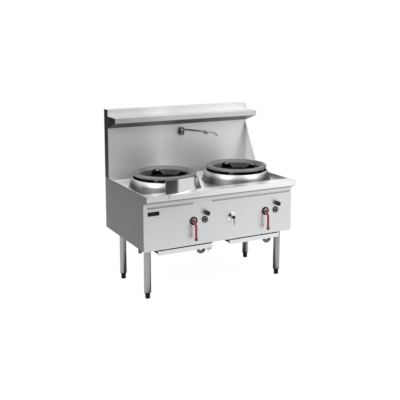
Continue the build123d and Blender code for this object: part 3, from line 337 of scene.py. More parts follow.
def make_finishes(tones):
    """Every finish, from the colours in the panel."""
    plastic = tones.plastic

    def panel(factor):
        return shade(tones.panel, factor)

    # the steel finishes are one satin steel, each part made lighter or darker as painted light and shade: the
    # front, wall, shelf, tray and rings lighter, the back darker
    satin_steel("front_steel", panel(1.2), 0.41, "x", apron_shade=0.75)
    # painted shade: the side panels' steel, darkened
    satin_steel("shaded_side_steel", shade(tones.side, 0.95), 0.40, "y", metal=0.6)
    satin_steel("back_steel", panel(0.95), 0.36, "z")
    satin_steel("wall_steel", panel(1.25), 0.46, "z", metal=0.9, ends=1.0, band=0.3)
    satin_steel("shelf_steel", panel(1.02), 0.42, "x", ends=1.0, under=0.85, band=0.25)
    # painted light: the wing's steel made lighter and not metallic, so its face looks lit
    satin_steel("lit_wing_steel", panel(1.62), 0.60, "z", metal=0.0)
    satin_steel("deck_steel", tones.deck, 0.34, "x")
    satin_steel("tray_steel", panel(1.3), 0.36, "x", ends=1.0, under=0.6)
    # painted shade: the legs' steel made darker
    satin_steel("shaded_tube_steel", panel(0.62), 0.36, "z")
    spun_steel("ring_steel", panel(1.1), 0.37)
    plated("guard_steel", (0.66, 0.66, 0.67), 0.12, spotty=0.15)
    plated("chrome", (0.36, 0.36, 0.37), 0.13)
    plated("polished_plate", (0.78, 0.78, 0.79), 0.20, spotty=0.15)
    # painted shade: chrome made darker for the faucet's post
    plated("shaded_chrome", (0.14, 0.14, 0.145), 0.14)
    plated("bright_steel", (0.55, 0.55, 0.56), 0.22)
    cast_iron("ring_iron", tones.iron, 0.45, (0.145, 0.146, 0.15), soot_and_shade=0.9)
    cast_iron("trap_iron", (0.17, 0.17, 0.175), 0.42, (0.27, 0.27, 0.275), grit=0.7)
    burnt_iron("fire_iron")
    enamel("red_enamel", tones.enamel)
    moulded("black_plastic", plastic, 0.42)
    moulded("button_plastic", plastic, 0.25, dusty=0.4)
    moulded("plate_black", shade(plastic, 0.4), 0.40, dusty=0.15)
    pipe_metal("pipe_grey", (0.10, 0.10, 0.105), (0.17, 0.17, 0.175), 0.5, 0.6)
    pipe_metal("angle_steel", (0.34, 0.345, 0.35), (0.46, 0.465, 0.47), 0.48, 0.9)
    pipe_metal("black_pipe", (0.05, 0.05, 0.052), (0.16, 0.16, 0.165), 0.42, 0.7)
    pipe_metal("brass", (0.42, 0.27, 0.09), (0.62, 0.43, 0.18), 0.30, 1.0)
    pipe_metal("copper", (0.30, 0.12, 0.06), (0.60, 0.30, 0.18), 0.32, 1.0)


# ---- mesh shapes, in millimetres in the frame's axes ----
def facing_front(x, y, z):
    """Local X to the right, Y up and Z out of the front, at a point in millimetres."""
    return Matrix(((1, 0, 0, x), (0, 0, -1, y), (0, 1, 0, z), (0, 0, 0, 1)))


def upright(x, y, z):
    """Local axes as the frame's, at a point in millimetres."""
    return Matrix.Translation((x, y, z))


def facing(origin, direction):
    """Local Z along a direction, at a point in millimetres."""
    turn = Vector(direction).to_track_quat("Z", "Y").to_matrix().to_4x4()
    return Matrix.Translation(origin) @ turn


def rounded(points, radius, closed=False, steps=5):
    """A line's points with its corners rounded; radius is a number, or a list with one for each corner."""
    corners = [Vector(p) for p in points]
    count = len(corners)
    radii = radius if isinstance(radius, (list, tuple)) else [radius] * count
    line = []
    for i, (corner, wanted) in enumerate(zip(corners, radii)):
        if not wanted or (not closed and i in (0, count - 1)):
            line.append(corner)
            continue
        before, after = corners[i - 1] - corner, corners[(i + 1) % count] - corner
        half = before.angle(after) / 2
        if half > radians(89):
            line.append(corner)
            continue
        set_back = min(wanted / tan(half), 0.48 * before.length, 0.48 * after.length)
        toward = (before.normalized() + after.normalized()).normalized()
        middle = corner + toward * (set_back / cos(half))
        start = corner + before.normalized() * set_back - middle
        end = corner + after.normalized() * set_back - middle
        sweep = start.angle(end)
        for k in range(steps + 1):
            share = k / steps
            ahead, behind = sin(share * sweep), sin((1 - share) * sweep)
            line.append(middle + (start * behind + end * ahead) / sin(sweep))
    return line


def arc(middle, radius, start, end, steps=8):
    """Points of an arc in a profile, by its angles in degrees."""
    turns = [radians(start + (end - start) * k / steps) for k in range(steps + 1)]
    return [(middle[0] + radius * cos(t), middle[1] + radius * sin(t)) for t in turns]


def hexagon(radius):
    """The outline of a bolt's head."""
    return [(radius * cos(radians(60 * k)), radius * sin(radians(60 * k))) for k in range(6)]


def section(*corners, closed=False, steps=4):
    """A profile from its corners: the place of each, and a radius where it is rounded."""
    return rounded([c[:2] for c in corners], [c[2] if len(c) > 2 else 0 for c in corners], closed, steps)


class Shape:
    """A mesh being made, from points in millimetres in the frame's axes; its forms can be chained."""

    def __init__(self):
        self.mesh = bmesh.new()

    def loop(self, places):
        """New points, in order."""
        return [self.mesh.verts.new(Vector(place) * MM) for place in places]

    def skin(self, first, second, closed=True):
        """Faces between two loops; a loop of one point makes a fan."""
        count = max(len(first), len(second))
        for i in range(count if closed else count - 1):
            j = (i + 1) % count
            corners = []
            for loop, k in ((first, i), (first, j), (second, j), (second, i)):
                corner = loop[k] if len(loop) > 1 else loop[0]
                if corner not in corners:
                    corners.append(corner)
            if len(corners) > 2:
                self.mesh.faces.new(corners)

    def turn(self, profile, seat, steps=48, closed=False, flutes=None):
        """A turned form: profile is radius and height along the seat's Z. Flutes are a count, a depth, and
        the lowest and highest height that they run between."""
        loops = []
        for radius, height in profile:
            if radius < 1e-6:
                loops.append(self.loop([seat @ Vector((0, 0, height))]))
                continue
            ring = []
            for k in range(steps):
                angle, reach = 2 * pi * k / steps, radius
                if flutes and flutes[2] <= height <= flutes[3]:
                    reach -= flutes[1] * (0.5 - 0.5 * cos(flutes[0] * angle))
                ring.append(seat @ Vector((reach * cos(angle), reach * sin(angle), height)))
            loops.append(self.loop(ring))
        for first, second in zip(loops, loops[1:] + (loops[:1] if closed else [])):
            self.skin(first, second)
        return self

    def on_shaft(self, profile, bore, depth, seat, steps, flutes=None):
        """A turned knob or hub, with a blind hole for its shaft."""
        self.turn([(bore, depth)] + profile, seat, steps, flutes=flutes)
        return self.turn([(0, depth), (bore, depth)], seat, steps)

    def rod(self, radius, low, high, seat, steps):
        """A plain rod with closed ends."""
        return self.turn([(0, low), (radius, low), (radius, high), (0, high)], seat, steps)

    def prism(self, outline, low, high, seat):
        """A closed outline in the seat's XY, from one local height to another."""
        ends = [self.loop([seat @ Vector((p[0], p[1], z)) for p in outline]) for z in (low, high)]
        self.skin(*ends)
        for end in ends:
            self.mesh.faces.new(end)
        return self

    def sweep(self, points, radii, sides=20):
        """A round bar along a line; radii is a number, or one for each point. Its ends are closed."""
        line = [Vector(p) for p in points]
        radii = radii if isinstance(radii, (list, tuple)) else [radii] * len(line)
        along = (line[1] - line[0]).normalized()
        across = along.orthogonal().normalized()
        loops = []
        for i, (place, radius) in enumerate(zip(line, radii)):
            ahead = line[min(i + 1, len(line) - 1)] - line[max(i - 1, 0)]
            across = (along.rotation_difference(ahead.normalized()) @ across).normalized()
            along = ahead.normalized()
            across = (across - along * across.dot(along)).normalized()
            other = along.cross(across)
            turns = [2 * pi * k / sides for k in range(sides)]
            loops.append(self.loop([place + (across * cos(t) + other * sin(t)) * radius for t in turns]))
        for first, second in zip(loops, loops[1:]):
            self.skin(first, second)
        self.mesh.faces.new(loops[0])
        self.mesh.faces.new(loops[-1])
        return self

    def dome(self, seat, radius, rise, foot, steps=20):
        """A low rounded boss that stands on the seat's XY, sunk into it by its foot."""
        profile = [(radius, -foot)]
        profile += [(radius * cos(t), rise * sin(t)) for t in [radians(90) * k / 5 for k in range(5)]]
        return self.turn(profile + [(0, rise)], seat, steps)

    def piece(self, name, finish, body, slot, replaces=(), edge=0.0):
        """Ends the shape as an object with its finish, edges, body and replaced nodes; slot is not used."""
        bmesh.ops.remove_doubles(self.mesh, verts=self.mesh.verts, dist=1e-7)
        bmesh.ops.recalc_face_normals(self.mesh, faces=self.mesh.faces)
        data = bpy.data.meshes.new(name)
        self.mesh.to_mesh(data)
        self.mesh.free()
        item = bpy.data.objects.new(name, data)
        bpy.context.scene.collection.objects.link(item)
        data.materials.append(FINISHES[finish])
        soften(item, edge)
        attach(item, body)
        if replaces:
            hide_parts(*replaces)


# ---- edges, shading and CAD nodes ----
def softening():
    """Geometry nodes that drop the imported normals, and shade smooth except over sharp edges."""
    tree = bpy.data.node_groups.new("soften_by_angle", "GeometryNodeTree")
    for direction in ("INPUT", "OUTPUT"):
        tree.interface.new_socket("Geometry", in_out=direction, socket_type="NodeSocketGeometry")
    start, end = tree.nodes.new("NodeGroupInput"), tree.nodes.new("NodeGroupOutput")
    drop = tree.nodes.new("GeometryNodeRemoveAttribute")
    drop.inputs["Name"].default_value = "custom_normal"
    smooth = tree.nodes.new("GeometryNodeSetShadeSmooth")
    sharp = tree.nodes.new("GeometryNodeSetShadeSmooth")
    sharp.domain = "EDGE"
    sharp.inputs["Shade Smooth"].default_value = False
    angle = tree.nodes.new("GeometryNodeInputMeshEdgeAngle")
    compare = tree.nodes.new("FunctionNodeCompare")
    compare.operation = "GREATER_THAN"
    compare.inputs[1].default_value = SHARP
    link = tree.links.new
    link(start.outputs[0], drop.inputs[0])
    link(drop.outputs[0], smooth.inputs["Geometry"])
    link(smooth.outputs[0], sharp.inputs["Geometry"])
    link(angle.outputs[0], compare.inputs[0])
    link(compare.outputs[0], sharp.inputs["Selection"])
    link(sharp.outputs[0], end.inputs[0])
    return tree


def soften(item, edge):
    """Rounds an object's sharp edges and shades it smooth, with its flat faces kept flat."""
    if edge:
        bevel = item.modifiers.new("edges", "BEVEL")
        bevel.width, bevel.segments = edge, 2
        bevel.limit_method, bevel.angle_limit = "ANGLE", SHARP
        bevel.use_clamp_overlap = True
    soft = item.modifiers.new("shading", "NODES")
    soft.node_group = bpy.data.node_groups.get("soften_by_angle") or softening()
    weight = item.modifiers.new("flat_faces", "WEIGHTED_NORMAL")
    weight.mode, weight.weight, weight.keep_sharp = "FACE_AREA", 100, True


def dress(node, finish, edge=0.0):
    """Gives a CAD node its finish, and rounds and smooths it by modifiers alone."""
    item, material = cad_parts[node], FINISHES[finish]
    for slot in item.material_slots:
        slot.material = material
    if not item.material_slots:
        item.data.materials.append(material)
    weld = item.modifiers.new("weld", "WELD")
    weld.merge_threshold = 1e-6
    flat = item.modifiers.new("flat_faces_joined", "DECIMATE")
    flat.decimate_type, flat.angle_limit = "DISSOLVE", FLAT
    soften(item, edge)


# CAD nodes that keep their own shape, by finish
FINISH_OF = {
    "front_steel": ("front_panel",),
    "shaded_side_steel": ("side_panel_left", "side_panel_right"),
    "lit_wing_steel": ("side_wing",),
    "back_steel": ("rear_panel",),
    "wall_steel": ("splashback",),
    "shelf_steel": ("pot_shelf",),
    "deck_steel": ("deck",),
    "tray_steel": ("drip_tray_left", "drip_tray_right", "tray_runners"),
    "angle_steel": ("base_frame", "leg_spigots"),
    "pipe_grey": ("gas_manifold",),
    "fire_iron": ("fire_chamber_left", "fire_chamber_right", "burner_left", "burner_right"),
    "black_pipe": ("supply_pipes",),
    "bright_steel": ("gas_valve_left", "gas_valve_right"),
    "brass": ("pilot_valves", "pilot_burners"),
    "copper": ("water_inlet_pipe", "water_riser"),
}


class PlainOperator(bpy.types.Operator):
    """What every operator here shares."""

    bl_options = {"REGISTER", "UNDO"}


class WOKRANGE_OT_finishes(PlainOperator):
    """Make every procedural finish"""

    bl_idname = "wokrange.finishes"
    bl_label = "Finishes"

    def execute(self, context):
        make_finishes(context.scene.range_colours)
        return {"FINISHED"}


class WOKRANGE_OT_sheet_metal(PlainOperator):
    """Finish the cabinet, deck, splashback, trays and inner parts"""

    bl_idname = "wokrange.sheet_metal"
    bl_label = "Sheet metal and inner parts"

    def execute(self, context):
        edges = context.scene.range_sizes
        for finish, nodes in FINISH_OF.items():
            edge = edges.sheet_edge if "steel" in finish else edges.pipe_edge
            for node in nodes:
                dress(node, finish, 0.0 if node == "pilot_burners" else edge)
        return {"FINISHED"}


# ---- burners, in millimetres as all sizes down to the studio, unless a note says metres ----
BURNER_X = {"left": -300.0, "right": 300.0}
BURNER_Y = -31.0
RING_TOP, RING_UNDER = 854.0, 832.0
NOTCH_ANGLES = (14, 86, 158, 230, 302)  # degrees from X, of the gaps between a wok ring's petals
PETAL_PITCH = 72.0  # degrees
# metres from a burner's axis up to which its chimney ring is all soot, and from which it is clean
CURL_INSIDE = (0.2295, 0.2325)
PAINTED_FOOT_SHADE = (0.740, 0.776, 0.803)  # heights in metres of the painted shade at the chimney ring's foot, a band of dark reflection


class WOKRANGE_OT_chimney_rings(PlainOperator):
    """Make the two spun chimney rings, with a rolled top and a welded foot"""

    bl_idname = "wokrange.chimney_rings"
    bl_label = "Chimney rings"

    def execute(self, context):
        outer = [(262.0, 735.0)] + arc((260.4, 739.2), 3.4, -60, 110, 6)
        outer += section((259.8, 743.5), (249.6, 784, 30), (241.6, 806, 9), (236, 813.4), steps=8)
        curl = arc((231.0, 806.0), 9.0, 62, 232, 16)
        inner = section((226.4, 797.4), (238.6, 794.6, 3), (245.8, 789.4, 6), (260, 735), steps=5)
        for side, x in BURNER_X.items():
            shape = Shape().turn(outer + curl + inner, upright(x, BURNER_Y, 0), steps=128, closed=True)
            name = f"chimney_ring_{side}"
            shape.piece(f"spun_{name}", "ring_steel", "range", "ring_steel", [name])
        return {"FINISHED"}


class WOKRANGE_OT_wok_rings(PlainOperator):
    """Make the two cast wok rings: a rim, five petals with turned-down sides, five lugs and a vent cut"""

    bl_idname = "wokrange.wok_rings"
    bl_label = "Wok rings"

    inner, root, tip, drop, thick = 204.0, 190.0, 154.0, 50.0, 11.0
    notch_half, notch_flare = 21.0, 32.0
    lug_foot, lug_top = 815.4, 839.0
    vent_angle, vent_half, vent_floor, vent_from = 24.0, 8.5, 846.0, 217.0
    side_share, side_drop = 0.87, 9.0
    petal_shares = (-1, -side_share, -0.72, -0.594, -0.588, -0.4, -0.2, 0, 0.2, 0.4, 0.6, 0.75, side_share, 1)
    gap_shares = (0.3, 0.612, 0.626, 0.8)

    def cone(self, radius):
        """Height of the dished upper face inside the rim."""
        share = (radius - self.tip) / (self.inner - self.tip)
        return RING_TOP - self.drop * (1 - share) - 3.2 * sin(pi * share)

    def rim(self, angle):
        """The rim's section from the top of its inner edge round to that edge's foot."""
        top = [(r, self.cone(r)) for r in (self.root, 194.0, 199.0)]
        top += section((self.inner, RING_TOP), (216.6, RING_TOP), (217.2, RING_TOP), (230, RING_TOP, 9),
                       (230, RING_UNDER, 8), (193, RING_UNDER), steps=5)
        top.append((self.root, RING_UNDER - 3.0))
        if abs((angle - self.vent_angle + 180) % 360 - 180) < self.vent_half:
            top = [(r, min(z, self.vent_floor) if r > self.vent_from else z) for r, z in top]
        return top

    def petal(self, share):
        """The petal's section from under the rim, inwards, and back up to the rim's inner edge."""
        low = RING_TOP - self.drop - self.thick
        sunk = self.side_drop if abs(share) > self.side_share + 0.01 else 0.0
        top = [(r, self.cone(r) - sunk) for r in (self.tip, 161.0, 168.0, 176.0, 184.5)]
        return [(172.0, low + 18.0), (self.tip, low)] + top

    def half_angle(self, radius):
        """Half the angle that a petal takes up at a radius, in degrees."""
        notch = self.notch_half
        notch += max(0.0, self.root - radius) / (self.root - self.tip) * self.notch_flare
        return PETAL_PITCH / 2 - degrees(asin(notch / radius))

    def execute(self, context):
        widest = self.half_angle(self.root)
        gap = PETAL_PITCH - 2 * widest
        lug = rounded([(216.2, -15), (228, -15), (228, 15), (216.2, 15)], 2.5, closed=True, steps=3)
        # a column of points stands at each angle; one in a petal also knows its middle and its share
        columns = []
        for notch in NOTCH_ANGLES:
            middle = notch + PETAL_PITCH / 2
            columns += [(middle + share * widest, middle, share) for share in self.petal_shares]
            columns += [(middle + widest + gap * share, None, None) for share in self.gap_shares]
        for side, x in BURNER_X.items():
            shape = Shape()
            seat = upright(x, BURNER_Y, 0)
            # the rim goes all the way round
            rims = [self.column(shape, seat, self.rim(angle), angle) for angle, middle, share in columns]
            for first, second in zip(rims, rims[1:] + rims[:1]):
                shape.skin(first, second, closed=False)
            # a petal's points draw together inwards, and a gap has none
            petals = []
            for angle, middle, share in columns:
                inside = []
                if middle is not None:
                    for radius, z in self.petal(share):
                        turned = middle + share * self.half_angle(radius)
                        inside += self.column(shape, seat, [(radius, z)], turned)
                petals.append(inside)
            # faces between petal columns, the rim's inner edge in a gap, and the petals' side ends
            for i in range(len(columns)):
                j = (i + 1) % len(columns)
                first = [rims[i][-1], *petals[i], rims[i][0]]
                second = [rims[j][-1], *petals[j], rims[j][0]]
                if petals[i] and petals[j]:
                    shape.skin(first, second, closed=False)
                    continue
                shape.mesh.faces.new((rims[i][-1], rims[i][0], rims[j][0], rims[j][-1]))
                for whole, other in ((first, petals[j]), (second, petals[i])):
                    if len(whole) > 2 and not other:
                        shape.mesh.faces.new(whole)
            for angle in NOTCH_ANGLES:
                turned = seat @ Matrix.Rotation(radians(angle), 4, "Z")
                shape.prism(lug, self.lug_foot, self.lug_top, turned)
            name, edge = f"wok_ring_{side}", context.scene.range_sizes.casting_edge
            shape.piece(f"cast_{name}", "ring_iron", name, "ring_iron", [name], edge)
        return {"FINISHED"}

    def column(self, shape, seat, profile, angle):
        """New points of a profile that stands at an angle round the burner."""
        turned = radians(angle)
        return shape.loop([seat @ Vector((r * cos(turned), r * sin(turned), z)) for r, z in profile])


class WOKRANGE_OT_splash_guard(PlainOperator):
    """Dress the splash guard and round its edges"""

    bl_idname = "wokrange.splash_guard"
    bl_label = "Splash guard"

    def execute(self, context):
        dress("splash_guard", "guard_steel", 0.0003)
        return {"FINISHED"}


# ---- legs and feet ----
# X and Y of each leg's axis
LEG_AT = {
    "front_left": (-525.0, -217.0),
    "front_right": (557.0, -217.0),
    "back_left": (-525.0, 238.0),
    "back_right": (557.0, 238.0),
}


class WOKRANGE_OT_legs(PlainOperator):
    """Make the tube legs, each with a rolled lower lip, and their screw feet"""

    bl_idname = "wokrange.legs"
    bl_label = "Legs and feet"

    def execute(self, context):
        tube = section((24, 45.4, 0.3), (25, 47, 1.2), (25, 379.8, 0.3), (23.5, 379.8, 0.3), (23.5, 72),
                       (9, 72), (9, 60), (23.4, 58), (23.4, 45.4, 0.3), closed=True, steps=3)
        foot = section((0, 0), (15.8, 0, 2.4), (17.5, 2.6, 1.5), (17.5, 20, 0.8), (16.4, 21.4, 0.6),
                       (16.4, 23, 0.6), (17.5, 24.4, 0.8), (17.5, 32, 2), (24.3, 43.4, 0.6),
                       (24.3, 45, 0.3), (8, 45), (8, 86, 1), (0, 87), steps=3)
        for place, (x, y) in LEG_AT.items():
            shape = Shape().turn(tube, upright(x, y, 0), steps=56, closed=True)
            shape.piece(f"tube_leg_{place}", "shaded_tube_steel", "range", "leg_steel", [f"leg_{place}"])
            shape = Shape().turn(foot, upright(x, y, 0), steps=72, flutes=(18, 0.9, 3.0, 19.5))
            name = f"foot_{place}"
            shape.piece(f"screw_{name}", "black_plastic", name, "foot_plastic", [name])
        return {"FINISHED"}


# ---- gas controls ----
PANEL_Y = -335.0  # face of the front panel
LEVER_X = {"left": -222.5, "right": 371.5}
LEVER_Z, KNOB_Z, IGNITER_Z = 548.0, 597.0, 548.0
KNOB_OFFSET, IGNITER_OFFSET = 98.5, 89.5  # to the right of the burner's lever


class WOKRANGE_OT_gas_levers(PlainOperator):
    """Make the black bezels, each with teeth and a steel star plate, and the red levers"""

    bl_idname = "wokrange.gas_levers"
    bl_label = "Bezels and levers"

    def execute(self, context):
        ring = section((13, 0), (30, 0), (30, 5, 2.4), (23.4, 5, 1), (22, 2.2, 0.6), (13, 2.2), closed=True)
        tooth = [(24.4, -0.7), (28.4, -0.9), (28.4, 0.9), (24.4, 0.7)]
        star = []
        for k in range(16):
            reach = 21.6 if k % 2 == 0 else 15.4
            star.append((reach * cos(pi * k / 8), reach * sin(pi * k / 8)))
        star = rounded(star, 0.8, closed=True, steps=2)
        for side, x in LEVER_X.items():
            seat = facing_front(x, PANEL_Y, LEVER_Z)
            shape = Shape().turn(ring, seat, steps=72, closed=True)
            for k in range(24):
                shape.prism(tooth, 4.4, 5.0, seat @ Matrix.Rotation(2 * pi * k / 24, 4, "Z"))
            shape.piece(f"bezel_dial_{side}", "black_plastic", "range", "bezel_steel", [f"bezel_{side}"])
            shape = Shape().prism(star, 2.2, 4.2, seat)
            shape.piece(f"bezel_star_{side}", "bright_steel", "range", "bezel_steel", (), 0.0004)
            self.lever(side, x)
        return {"FINISHED"}

    def lever(self, side, x):
        """One lever: a hub, a bent rod that thins to its knee, and a ball on its end."""
        shape = Shape()
        hub = section((5.1, 0), (10, 0, 0.8), (10, 14.5, 2.4), (8, 18, 1), (4.2, 18, 0.4),
                      (3.6, 16.6, 0.2), (0, 16.6))
        shape.on_shaft(hub, 5.1, 14, facing_front(x, PANEL_Y - 5.3, LEVER_Z), 48)
        knee = rounded([(x, -350.2, 548), (x, -375, 515), (x, -375, 440)], [0, 18, 0], steps=10)
        radii = [8.6 - 0.6 * min(1, k / 8) for k in range(len(knee))]
        ball = []
        for k in range(1, 17):
            turn = radians(25 + 155 * k / 16)
            ball.append((Vector((x, -375, 425 + 13 * cos(turn))), max(13 * sin(turn), 0.4)))
        line = knee + [Vector((x, -375, 437.8))] + [place for place, radius in ball]
        shape.sweep(line, radii + [8.0] + [radius for place, radius in ball], sides=24)
        shape.piece(f"enamel_lever_{side}", "red_enamel", f"lever_{side}", "lever_red", [f"lever_{side}"])


class WOKRANGE_OT_pilot_knobs(PlainOperator):
    """Make the pilot knobs: a skirt, a flat-sided grip and a pointer groove"""

    bl_idname = "wokrange.pilot_knobs"
    bl_label = "Pilot knobs"

    def execute(self, context):
        skirt = section((4.1, 0), (16.5, 0, 0.8), (16.5, 12.4, 1.4), (15, 14.4, 0.8), (0, 14.4))
        turns = [radians(28 + 124 * k / 12) for k in range(13)]
        cap = [(16.4 * cos(t), 16.4 * sin(t)) for t in turns]
        grip = cap + [(-p[0], -p[1]) for p in cap]
        for side, lever_x in LEVER_X.items():
            seat = facing_front(lever_x + KNOB_OFFSET, PANEL_Y - 1, KNOB_Z)
            shape = Shape().on_shaft(skirt, 4.1, 10, seat, 64).prism(grip, 13.6, 33, seat)
            shape.prism([(-1, 6), (1, 6), (1, 15.6), (-1, 15.6)], 32, 32.99, seat)
            name = f"pilot_knob_{side}"
            shape.piece(f"grip_{name}", "black_plastic", name, "knob_black", [name], 0.0011)
        return {"FINISHED"}


class WOKRANGE_OT_igniters(PlainOperator):
    """Make the two ringed igniter housings and their push buttons"""

    bl_idname = "wokrange.igniters"
    bl_label = "Igniters"

    def execute(self, context):
        body = section((9, -8), (9, 7.2, 0.3), (9.8, 8, 0.4), (11, 8, 0.6), (11.8, 5.8, 0.5),
                       (16.4, 5.8, 0.4), (17.2, 8, 0.4), (22, 7.4, 0.8), (23.6, 5, 0.8), (24, 0), (11, 0),
                       (11, -30, 0.6), (8, -30), (8, -8), closed=True, steps=3)
        shape = Shape()
        for x in LEVER_X.values():
            shape.turn(body, facing_front(x + IGNITER_OFFSET, PANEL_Y, IGNITER_Z), steps=64, closed=True)
        shape.piece("igniter_housings", "black_plastic", "range", "knob_black", ["igniters"])
        band = rounded([(12.2, 5.6), (15.6, 5.6), (15.6, 7.2), (12.2, 7.2)], 0.5, closed=True, steps=3)
        cap = section((0, 14.1), (6.2, 14.3, 2), (8.5, 15, 1.2), (8.5, -1, 0.2), (0, -1))
        for side, x in LEVER_X.items():
            seat = facing_front(x + IGNITER_OFFSET, PANEL_Y, IGNITER_Z)
            shape = Shape().turn(band, seat, steps=64, closed=True)
            shape.piece(f"igniter_band_{side}", "bright_steel", "range", "fitting_chrome")
            shape = Shape().turn(cap, seat, steps=48)
            name = f"igniter_button_{side}"
            shape.piece(f"push_{name}", "button_plastic", name, "button_black", [name])
        return {"FINISHED"}


# ---- water ----
TAP_X, TAP_Z = 86.0, 541.0
SPLASH_Y = 313.0  # face of the splashback
FAUCET_X, FAUCET_Z, PIVOT_Y, ARM_Z, OUTER_Z = 2.0, 1080.0, 289.0, 1100.0, 1083.0
ELBOW = (96.71, 90.43)  # X and Y of the joint between the arms
OUTER_REACH, OUTER_ANGLE = 110.0, radians(-68.0)


class WOKRANGE_OT_tap(PlainOperator):
    """Make the tap's domed plate with two screws, and its black hub with a bent lever"""

    bl_idname = "wokrange.tap"
    bl_label = "Water tap"

    def execute(self, context):
        seat = facing_front(TAP_X, PANEL_Y, TAP_Z)
        dress("tap_valve", "bright_steel", context.scene.range_sizes.pipe_edge)
        dish = [(11.1, 0), (35, 0), (35, 2.4), (34.2, 3.2), (32, 3.6), (29, 4.6), (25, 6.3), (19, 7.5),
                (13, 8), (11.1, 8)]
        shape = Shape().turn(dish, seat, steps=80, closed=True)
        shape.piece("tap_plate", "polished_plate", "range", "fitting_chrome", ["tap_escutcheon"])
        shape = Shape()
        for x in (-24.0, 24.0):
            place = seat @ Matrix.Translation((x, 0, 6.2))
            shape.turn([(3.4, -1), (3.4, 0.6), (2.6, 1.3), (1.2, 1.5), (1.2, 0.6), (0, 0.6)], place, steps=24)
        shape.piece("tap_plate_screws", "black_plastic", "range", "fitting_chrome")
        shape = Shape()
        hub = section((4.06, 0), (12.5, 0, 0.8), (12.5, 10.6, 2.6), (9.8, 13, 1.2), (5, 13, 0.4),
                      (4.4, 12.2, 0.2), (0, 12.2))
        hub_seat = facing_front(TAP_X, PANEL_Y - 20.3, TAP_Z)
        shape.on_shaft(hub, 4.06, 10, hub_seat, 48, flutes=(12, 0.7, 1, 10))
        line = rounded([(87, -360.8, 532), (89.5, -363.5, 512), (94, -360.8, 479.2)], [0, 30, 0], steps=8)
        radii = [4.0 - 0.9 * k / (len(line) - 2) for k in range(len(line) - 1)] + [1.2]
        shape.sweep(line, radii, sides=20)
        shape.piece("tap_handle", "button_plastic", "tap_lever", "fitting_chrome", ["tap_lever"])
        return {"FINISHED"}


class WOKRANGE_OT_faucet(PlainOperator):
    """Make the jointed swing faucet: its body on the splashback, two arms and the nozzle"""

    bl_idname = "wokrange.faucet"
    bl_label = "Swing faucet"

    def execute(self, context):
        wall = facing_front(FAUCET_X, SPLASH_Y, FAUCET_Z)
        post = upright(FAUCET_X, PIVOT_Y, 0)
        shape = Shape().turn(section((0, 0.05), (23, 0.05, 0.2), (23, 4, 1.6), (20, 6, 1.6), (11, 6, 1.2),
                                     (8.6, 8.2, 2), (8.5, 24), (0, 24)), wall, steps=56)
        shape.turn(section((0, 1056.8), (11.5, 1056.8, 1.5), (16, 1060, 2), (16, 1087.6, 1.6),
                           (13.4, 1090.6, 1), (0, 1090.6)), post, steps=56)
        shape.turn([(7, 1090), (7, 1110)], post, steps=32)
        shape.turn(section((0, 1109.4), (13, 1109.4, 0.5), (13, 1113.6, 2.2), (9.4, 1117.4, 2.2),
                           (4.4, 1117.9, 0.3), (3.8, 1116.8, 0.2), (0, 1116.8)), post, steps=56)
        behind = facing((FAUCET_X, SPLASH_Y + 31, FAUCET_Z), (0, -1, 0))
        shape.rod(7, 0, 31, behind, 32)
        shape.piece("faucet_post", "shaded_chrome", "range", "fitting_chrome", ["faucet_body"])
        bush = section((7.06, 0), (17, 0, 1.8), (17, 18, 1.8), (7.06, 18), closed=True)
        joint = section((6.06, 0), (9.2, 0, 1.6), (9.2, 18, 1.6), (6.06, 18), closed=True)
        elbow = upright(*ELBOW, 1091)
        reach = Vector((*ELBOW, 0)) - Vector((FAUCET_X, PIVOT_Y, 0))
        along = reach.normalized()
        shape = Shape().turn(bush, upright(FAUCET_X, PIVOT_Y, 1091), steps=56, closed=True)
        shape.turn(joint, elbow, steps=48, closed=True)
        start = Vector((FAUCET_X, PIVOT_Y, ARM_Z)) + along * 15
        far = reach.length
        ends = (0, 3, 3.6, 8, 8.6, far - 33, far - 32.4, far - 28, far - 26)
        radii = (9.0, 9.0, 9.0, 9.0, 7.6, 7.6, 9.0, 9.0, 8.4)
        shape.sweep([start + along * t for t in ends], radii, sides=32)
        shape.piece("faucet_arm_upper", "chrome", "faucet_arm_inner", "fitting_chrome", ["faucet_arm_inner"])
        self.outer()
        return {"FINISHED"}

    def outer(self):
        """The arm beyond the elbow, which rises from below it and bends down to a fluted nozzle."""
        post = upright(*ELBOW, 0)
        shape = Shape().turn(section((0, 1083), (7.6, 1083, 1), (9, 1084.6, 1.2), (9, 1090.7, 1),
                                     (0, 1090.7)), post, steps=48)
        shape.turn([(6, 1090), (6, 1110)], post, steps=28)
        cap = section((0, 1109.3), (9, 1109.3, 0.4), (9, 1110.8, 1.2), (7.2, 1112.4, 1), (0, 1112.4))
        shape.turn(cap, post, steps=48)
        along = Vector((cos(OUTER_ANGLE), sin(OUTER_ANGLE), 0))
        elbow = Vector((*ELBOW, 0))
        stops = ((6, OUTER_Z + 4), (14, OUTER_Z + 4), (25, ARM_Z), (OUTER_REACH, ARM_Z),
                 (OUTER_REACH, OUTER_Z))
        places = [elbow + along * reach + Vector((0, 0, z)) for reach, z in stops]
        line = rounded(places, [0, 8, 8, 16, 0], steps=10)
        shape.sweep(line, 6.6, sides=32)
        nozzle = section((7, 9), (7.9, 8.2, 0.8), (7.9, 0.6, 0.4), (7.2, 0, 0.3), (6.2, 0, 0.2), (6.2, 6),
                         (0, 6), steps=3)
        tip = elbow + along * OUTER_REACH
        shape.turn(nozzle, upright(tip.x, tip.y, 1076), steps=60, flutes=(30, 0.35, 1.2, 7.4))
        shape.piece("faucet_arm_lower", "chrome", "faucet_arm_outer", "fitting_chrome", ["faucet_arm_outer"])


# ---- drains ----
TRAP_X = {"left": -132.0, "right": 426.0}
TRAP_Y = -277.0
COCK = (-84.0, -297.0, 320.5)  # middle of the drain cock's ball


